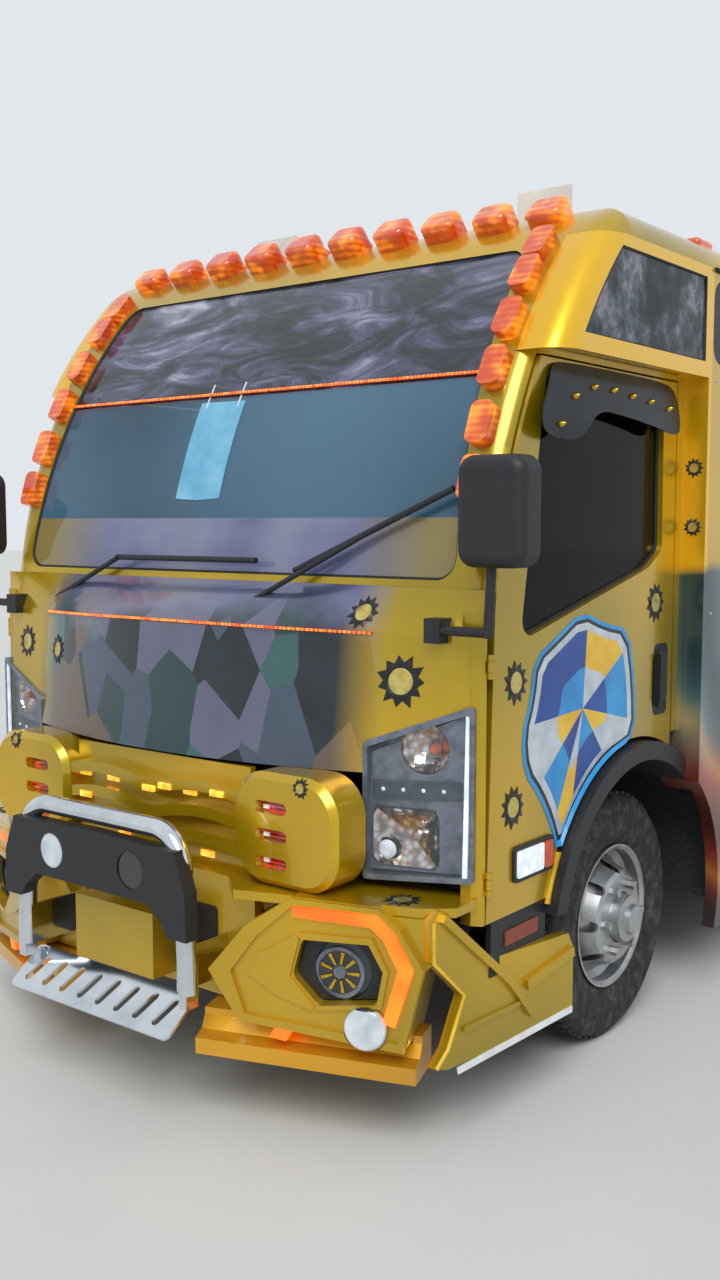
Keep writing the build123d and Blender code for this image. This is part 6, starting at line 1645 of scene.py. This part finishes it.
fit_on(rear_plate, "boot_lid")
fit_on(joined("flat_fittings", flats), "body")

# %% [markdown]
# ## Raised work on the pods
# Each bumper pod is built up in layers: a raised rim, a beak that points to the lamp, a frame
# round the lamp hole and a lit orange band between frame and rim. A gold shoulder closes the
# corner between pod, shelf and skirt, and a bright yellow tube along the skirt's front edge is a
# painted highlight on that edge. All outlines lie in the pod's plane, first across and then up.

# %% Outlines of the pod work
pod_edge = [(0.042, 0.465), (0.151, 0.595), (0.286, 0.685), (0.529, 0.680), (0.588, 0.627), (0.653, 0.527),
            (0.598, 0.302), (0.131, 0.332)]
pod_inner = [(0.108, 0.468), (0.185, 0.572), (0.292, 0.667), (0.528, 0.666), (0.577, 0.622), (0.630, 0.526),
             (0.584, 0.326), (0.150, 0.352)]
glow_band = [(0.290, 0.664), (0.526, 0.662), (0.574, 0.619), (0.625, 0.525), (0.574, 0.368), (0.540, 0.376),
             (0.582, 0.521), (0.542, 0.598), (0.508, 0.628), (0.290, 0.636)]
beak = [(0.150, 0.470), (0.200, 0.530), (0.294, 0.586), (0.306, 0.576), (0.280, 0.473), (0.350, 0.394),
        (0.344, 0.384), (0.240, 0.415)]
lamp_frame = [(0.306, 0.594), (0.511, 0.598), (0.556, 0.514), (0.537, 0.413), (0.350, 0.386), (0.356, 0.400),
              (0.525, 0.423), (0.541, 0.512), (0.502, 0.581), (0.312, 0.576)]
foot_light = [(0.243, 0.336), (0.292, 0.332), (0.270, 0.292), (0.222, 0.298)]
shoulder = [(0.520, 0.656), (0.672, 0.656), (0.672, 0.545), (0.652, 0.520), (0.585, 0.620)]
disc = (0.495, 0.357, 0.064)
# Corners of the bright yellow tube on the skirt's front edge, a painted highlight.
edge_highlight_corners = ((0.003, 0.655), (0.003, 0.548), (0.126, 0.432), (0.062, 0.302), (0.016, 0.262))
band_light = clouded("lit_orange_band", ((0.3, "#EE4A0C"), (0.7, "#FF7416")), 142.9, 1.0, lit=True,
                     Roughness=0.3, Emission_Strength=1.3)
print("pod rim of", len(pod_edge), "corners, glow band of", len(glow_band))

# %% Pod rims, beaks, bands and shoulders
# Name, outline, rise, foot and finish.
pod_plates = (
    ("glow_band", glow_band, 0.011, hidden_foot, band_light), ("beak", beak, 0.009, hidden_foot, body_paint),
    ("lamp_frame", lamp_frame, 0.010, hidden_foot, body_paint),
    ("foot_light", foot_light, 0.012, -0.010, band_light), ("shoulder", shoulder, -0.014, -0.030, body_paint))


def rim_region(p):
    """The rim itself, or nothing inside it and over the round lamp at its foot."""
    on_disc = math.hypot(p.x - disc[0], p.y - disc[1]) < disc[2]
    return -1 if within((p.x, p.y), pod_inner) or on_disc else 0


raised = []
for side, sign in sides:
    place = pod_place(sign)
    raised.append(plate("pod_rim", pod_edge, place, 0.013, [body_paint],
                        loops=(pod_inner, circle(*disc)), region=rim_region))
    for name, outline, rise, foot, finish in pod_plates:
        raised.append(plate(name, outline, place, rise, [finish], foot=foot))
    on_skirt = skirt_place(sign)
    # Bright yellow tube on the skirt's front edge: a painted highlight.
    edge_highlight = path_object("piping_path", [on_skirt(u, v, 0.001) for u, v in edge_highlight_corners])
    raised.append(grow(edge_highlight, seal_tree, Radius=0.006, Finish=yellow_film))
fit_on(joined("pod_and_skirt_trim", raised), "body")

# %% [markdown]
# ## Trim of the coach body
# A coach builder covers panel joints with riveted strips, puts a gutter over the windows and a
# rubber lip round each rear wheel arch. The rivets are one row tree along each joint; gutter and
# lip are seal trees with their own thickness. Bare aluminium gives the rivets a dull bright spot.

# %% Rivets, gutters and arch lips
side_x, gutter_x, gutter_z, lip_x = 1.0955, 1.098, 2.486, 1.097
rear_y, waist_z, rivet_pitch = 3.780, 1.372, 0.09
arch_z, arch_radius, arch_steps = 0.425, 0.503, 32
emergency_door_rear_y = 3.200
bare_rivet = speckled("bare_aluminium_rivet", ((0.3, "#9CA1A6"), (0.7, "#C6CACD")), 16.67, 0.05,
                      Metallic=0.9, Roughness=0.35)
rivet_profile = [(0.0, 0.0028), (0.0034, 0.0024), (0.0058, 0.0010), (0.0062, 0.0), (0.0, 0.0)]
rivet = spun("rivet", rivet_profile, 8, bare_rivet)
# Front end, rear end and height of each run of rivets.
runs = ((at(0.360), at(0.500), waist_z), (at(1.360), at(3.560), waist_z), (at(4.700), rear_y, waist_z),
        (at(1.360), at(3.560), 0.330), (at(4.780), rear_y, 0.330), (at(0.360), rear_y, 2.135))
trim = []
for side, sign in sides:
    for y0, y1, z in runs:
        if side == "right" and z == waist_z and y1 == rear_y:
            y0 = emergency_door_rear_y
        row = path_object("rivet_path", [(sign * side_x, y0, z), (sign * side_x, y1, z)])
        trim.append(grow(row, row_tree, Pitch=rivet_pitch, Facing=Vector((sign, 0, 0)), Seed=rivet,
                         Finish=bare_rivet))
    gutter_ends = [(sign * gutter_x, at(0.330), gutter_z), (sign * gutter_x, 3.800, gutter_z)]
    trim.append(grow(path_object("gutter_path", gutter_ends), seal_tree, Radius=0.008, Finish=rubber_seal))
    arc = []
    for i in range(arch_steps + 1):
        a = math.radians(-8 + 196 * i / arch_steps)
        y = at(rear_axle_behind) + arch_radius * math.cos(a)
        arc.append((sign * lip_x, y, arch_z + arch_radius * math.sin(a)))
    trim.append(grow(path_object("arch_path", arc), seal_tree, Radius=0.011, Finish=rubber_seal))
fit_on(joined("coach_trim", trim), "body")
bpy.data.objects.remove(rivet)

# %% [markdown]
# ## Pull handles
# Entry door, emergency door and boot lid get a plain pull handle: a bowed bright grip on a black
# base. It is drawn once about its own middle and placed three times.

# %% Pull handles
base_loop = rounded(-0.020, -0.080, 0.020, 0.080, 0.012)
grip_loop = rounded(-0.010, -0.066, 0.010, 0.066, 0.008)
grip_middle, grip_bow = 0.026, 9.0


def grip_rise(u, v):
    """Height of the grip, highest in the middle of its length."""
    return grip_middle - grip_bow * v * v


handle_places = (
    ("entry_door", flat_at((side_x, -1.240, 1.150), rearward, upward, (1, 0, 0))),
    ("emergency_door", flat_at((-side_x, 2.520, 1.200), rearward, upward, (-1, 0, 0))),
    ("boot_lid", flat_at((0.0, 3.8495, 0.855), upward, leftward, rearward)))
for body, place in handle_places:
    base = plate("handle_base", base_loop, place, 0.003, [black_abs])
    grip = plate("grip", grip_loop, place, grip_rise, [polished_tube], spacing=0.010, foot=0.002)
    fit_on(joined(f"handle_of_{body}", [base, grip]), body)

# %% [markdown]
# ## Padded seats
# Each seat is foam under woven cloth: a crowned cushion and a taller back, both with sewn
# channels and sides that pull in. One grid is puffed up as a rounded box, and channels are
# pressed in across it. It is then fitted into the space of the CAD solid.

# %% One pad


def pad(width, length, thickness, channels, across=26, along=30):
    """Crowned closed cushion with sewn channels; foot at zero, length along Y."""
    points, faces = [], []
    for side in (1, -1):
        for j in range(along + 1):
            for i in range(across + 1):
                u, v = 2 * i / across - 1, 2 * j / along - 1
                edge = (1 - abs(u) ** 6) * (1 - abs(v) ** 6)
                crown = thickness / 2 * max(0.0, edge) ** 0.38 * (0.86 + 0.14 * (1 - u * u) * (1 - v * v))
                if side > 0:
                    crown -= 0.007 * edge * sum(math.exp(-((v - c) / 0.035) ** 2) for c in channels)
                    crown -= 0.006 * edge * math.exp(-((abs(u) - 0.74) / 0.03) ** 2)
                pull = 1 - 0.012 * (1 - abs(v)) * abs(u) ** 4
                points.append((u * width / 2 * pull, v * length / 2, thickness / 2 + side * crown))
    row, half = across + 1, (across + 1) * (along + 1)
    for j in range(along):
        for i in range(across):
            a = j * row + i
            faces.append([a, a + 1, a + row + 1, a + row])
            faces.append([half + a, half + a + row, half + a + row + 1, half + a + 1])
    return new_object("pad", points, faces, [seat_cloth], smooth=True)


def seat_parts(x, y, width, foot_z):
    """Cushion and leaning back of one seat in the space of its CAD solids."""
    top = foot_z + seat_height
    cushion = pad(width - pad_clearance, 0.392, 0.118, (-0.33, 0.33))
    cushion_at = Matrix.Translation((x, y + 0.198, top - 0.120))
    cushion.data.transform(cushion_at @ Matrix.Rotation(cushion_tilt, 4, "X"))
    back = pad(width - pad_clearance, 0.640, 0.092, (-0.45, 0.0, 0.45))
    back_at = Matrix.Translation((x, y + 0.502, top + 0.295))
    leaning = Matrix.Rotation(math.pi / 2 - back_lean, 4, "X")
    back.data.transform(back_at @ leaning @ Matrix.Translation((0, 0, -0.046)))
    return [cushion, back]


seat_height, pad_clearance = 0.440, 0.006
cushion_tilt, back_lean = math.radians(-2.5), math.atan2(0.120, 0.640)
print("backs lean by", round(math.degrees(back_lean), 1), "degrees")

# %% Seats
floor_z, row_pitch, row_count = 0.980, 0.690, 6
bench_y, bench_width, bench_z = 3.830 - 0.045 - 0.620, 2.000, 1.340 + 0.110 - 0.440
# X, front edge and width of each seat that stands on the floor: the cab first, then the rows.
seat_feet = [(x, at(-0.200), 0.470) for x in (-0.54, 0.54)]
seat_feet += [(x, at(1.400) + row * row_pitch, 0.860) for row in range(row_count) for x in (0.600, -0.600)]
seats = []
for x, y, width in seat_feet:
    seats += seat_parts(x, y, width, floor_z)
seats += seat_parts(0.0, bench_y, bench_width, bench_z)
pads = joined("seat_pads", seats)
fit_on(pads, "body")
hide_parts("seats")

# %% [markdown]
# ## Seat plinths
# Under each seat is a plain folded metal plinth, drawn as one section from the side and
# stretched across the seat's width. The rear bench stands on its own raised floor instead.

# %% Seat plinths
# Section from the side: distance from the seat's front edge, and height.
plinth_section = ((0.06, 0.981), (0.36, 0.981), (0.34, 1.00), (0.33, 1.290), (0.09, 1.290), (0.08, 1.00))
plinth_inset = 0.060
plinths = []
for x, y, width in seat_feet:
    half = width / 2 - plinth_inset
    points = [(x + s * half, y + back, z) for s in (-1, 1) for back, z in plinth_section]
    count = len(plinth_section)
    faces = [list(range(count)), list(range(2 * count - 1, count - 1, -1))]
    faces += [[i, (i + 1) % count, count + (i + 1) % count, count + i] for i in range(count)]
    plinths.append(new_object("plinth", points, faces, [chassis_paint]))
fit_on(joined("seat_plinths", plinths), "body")
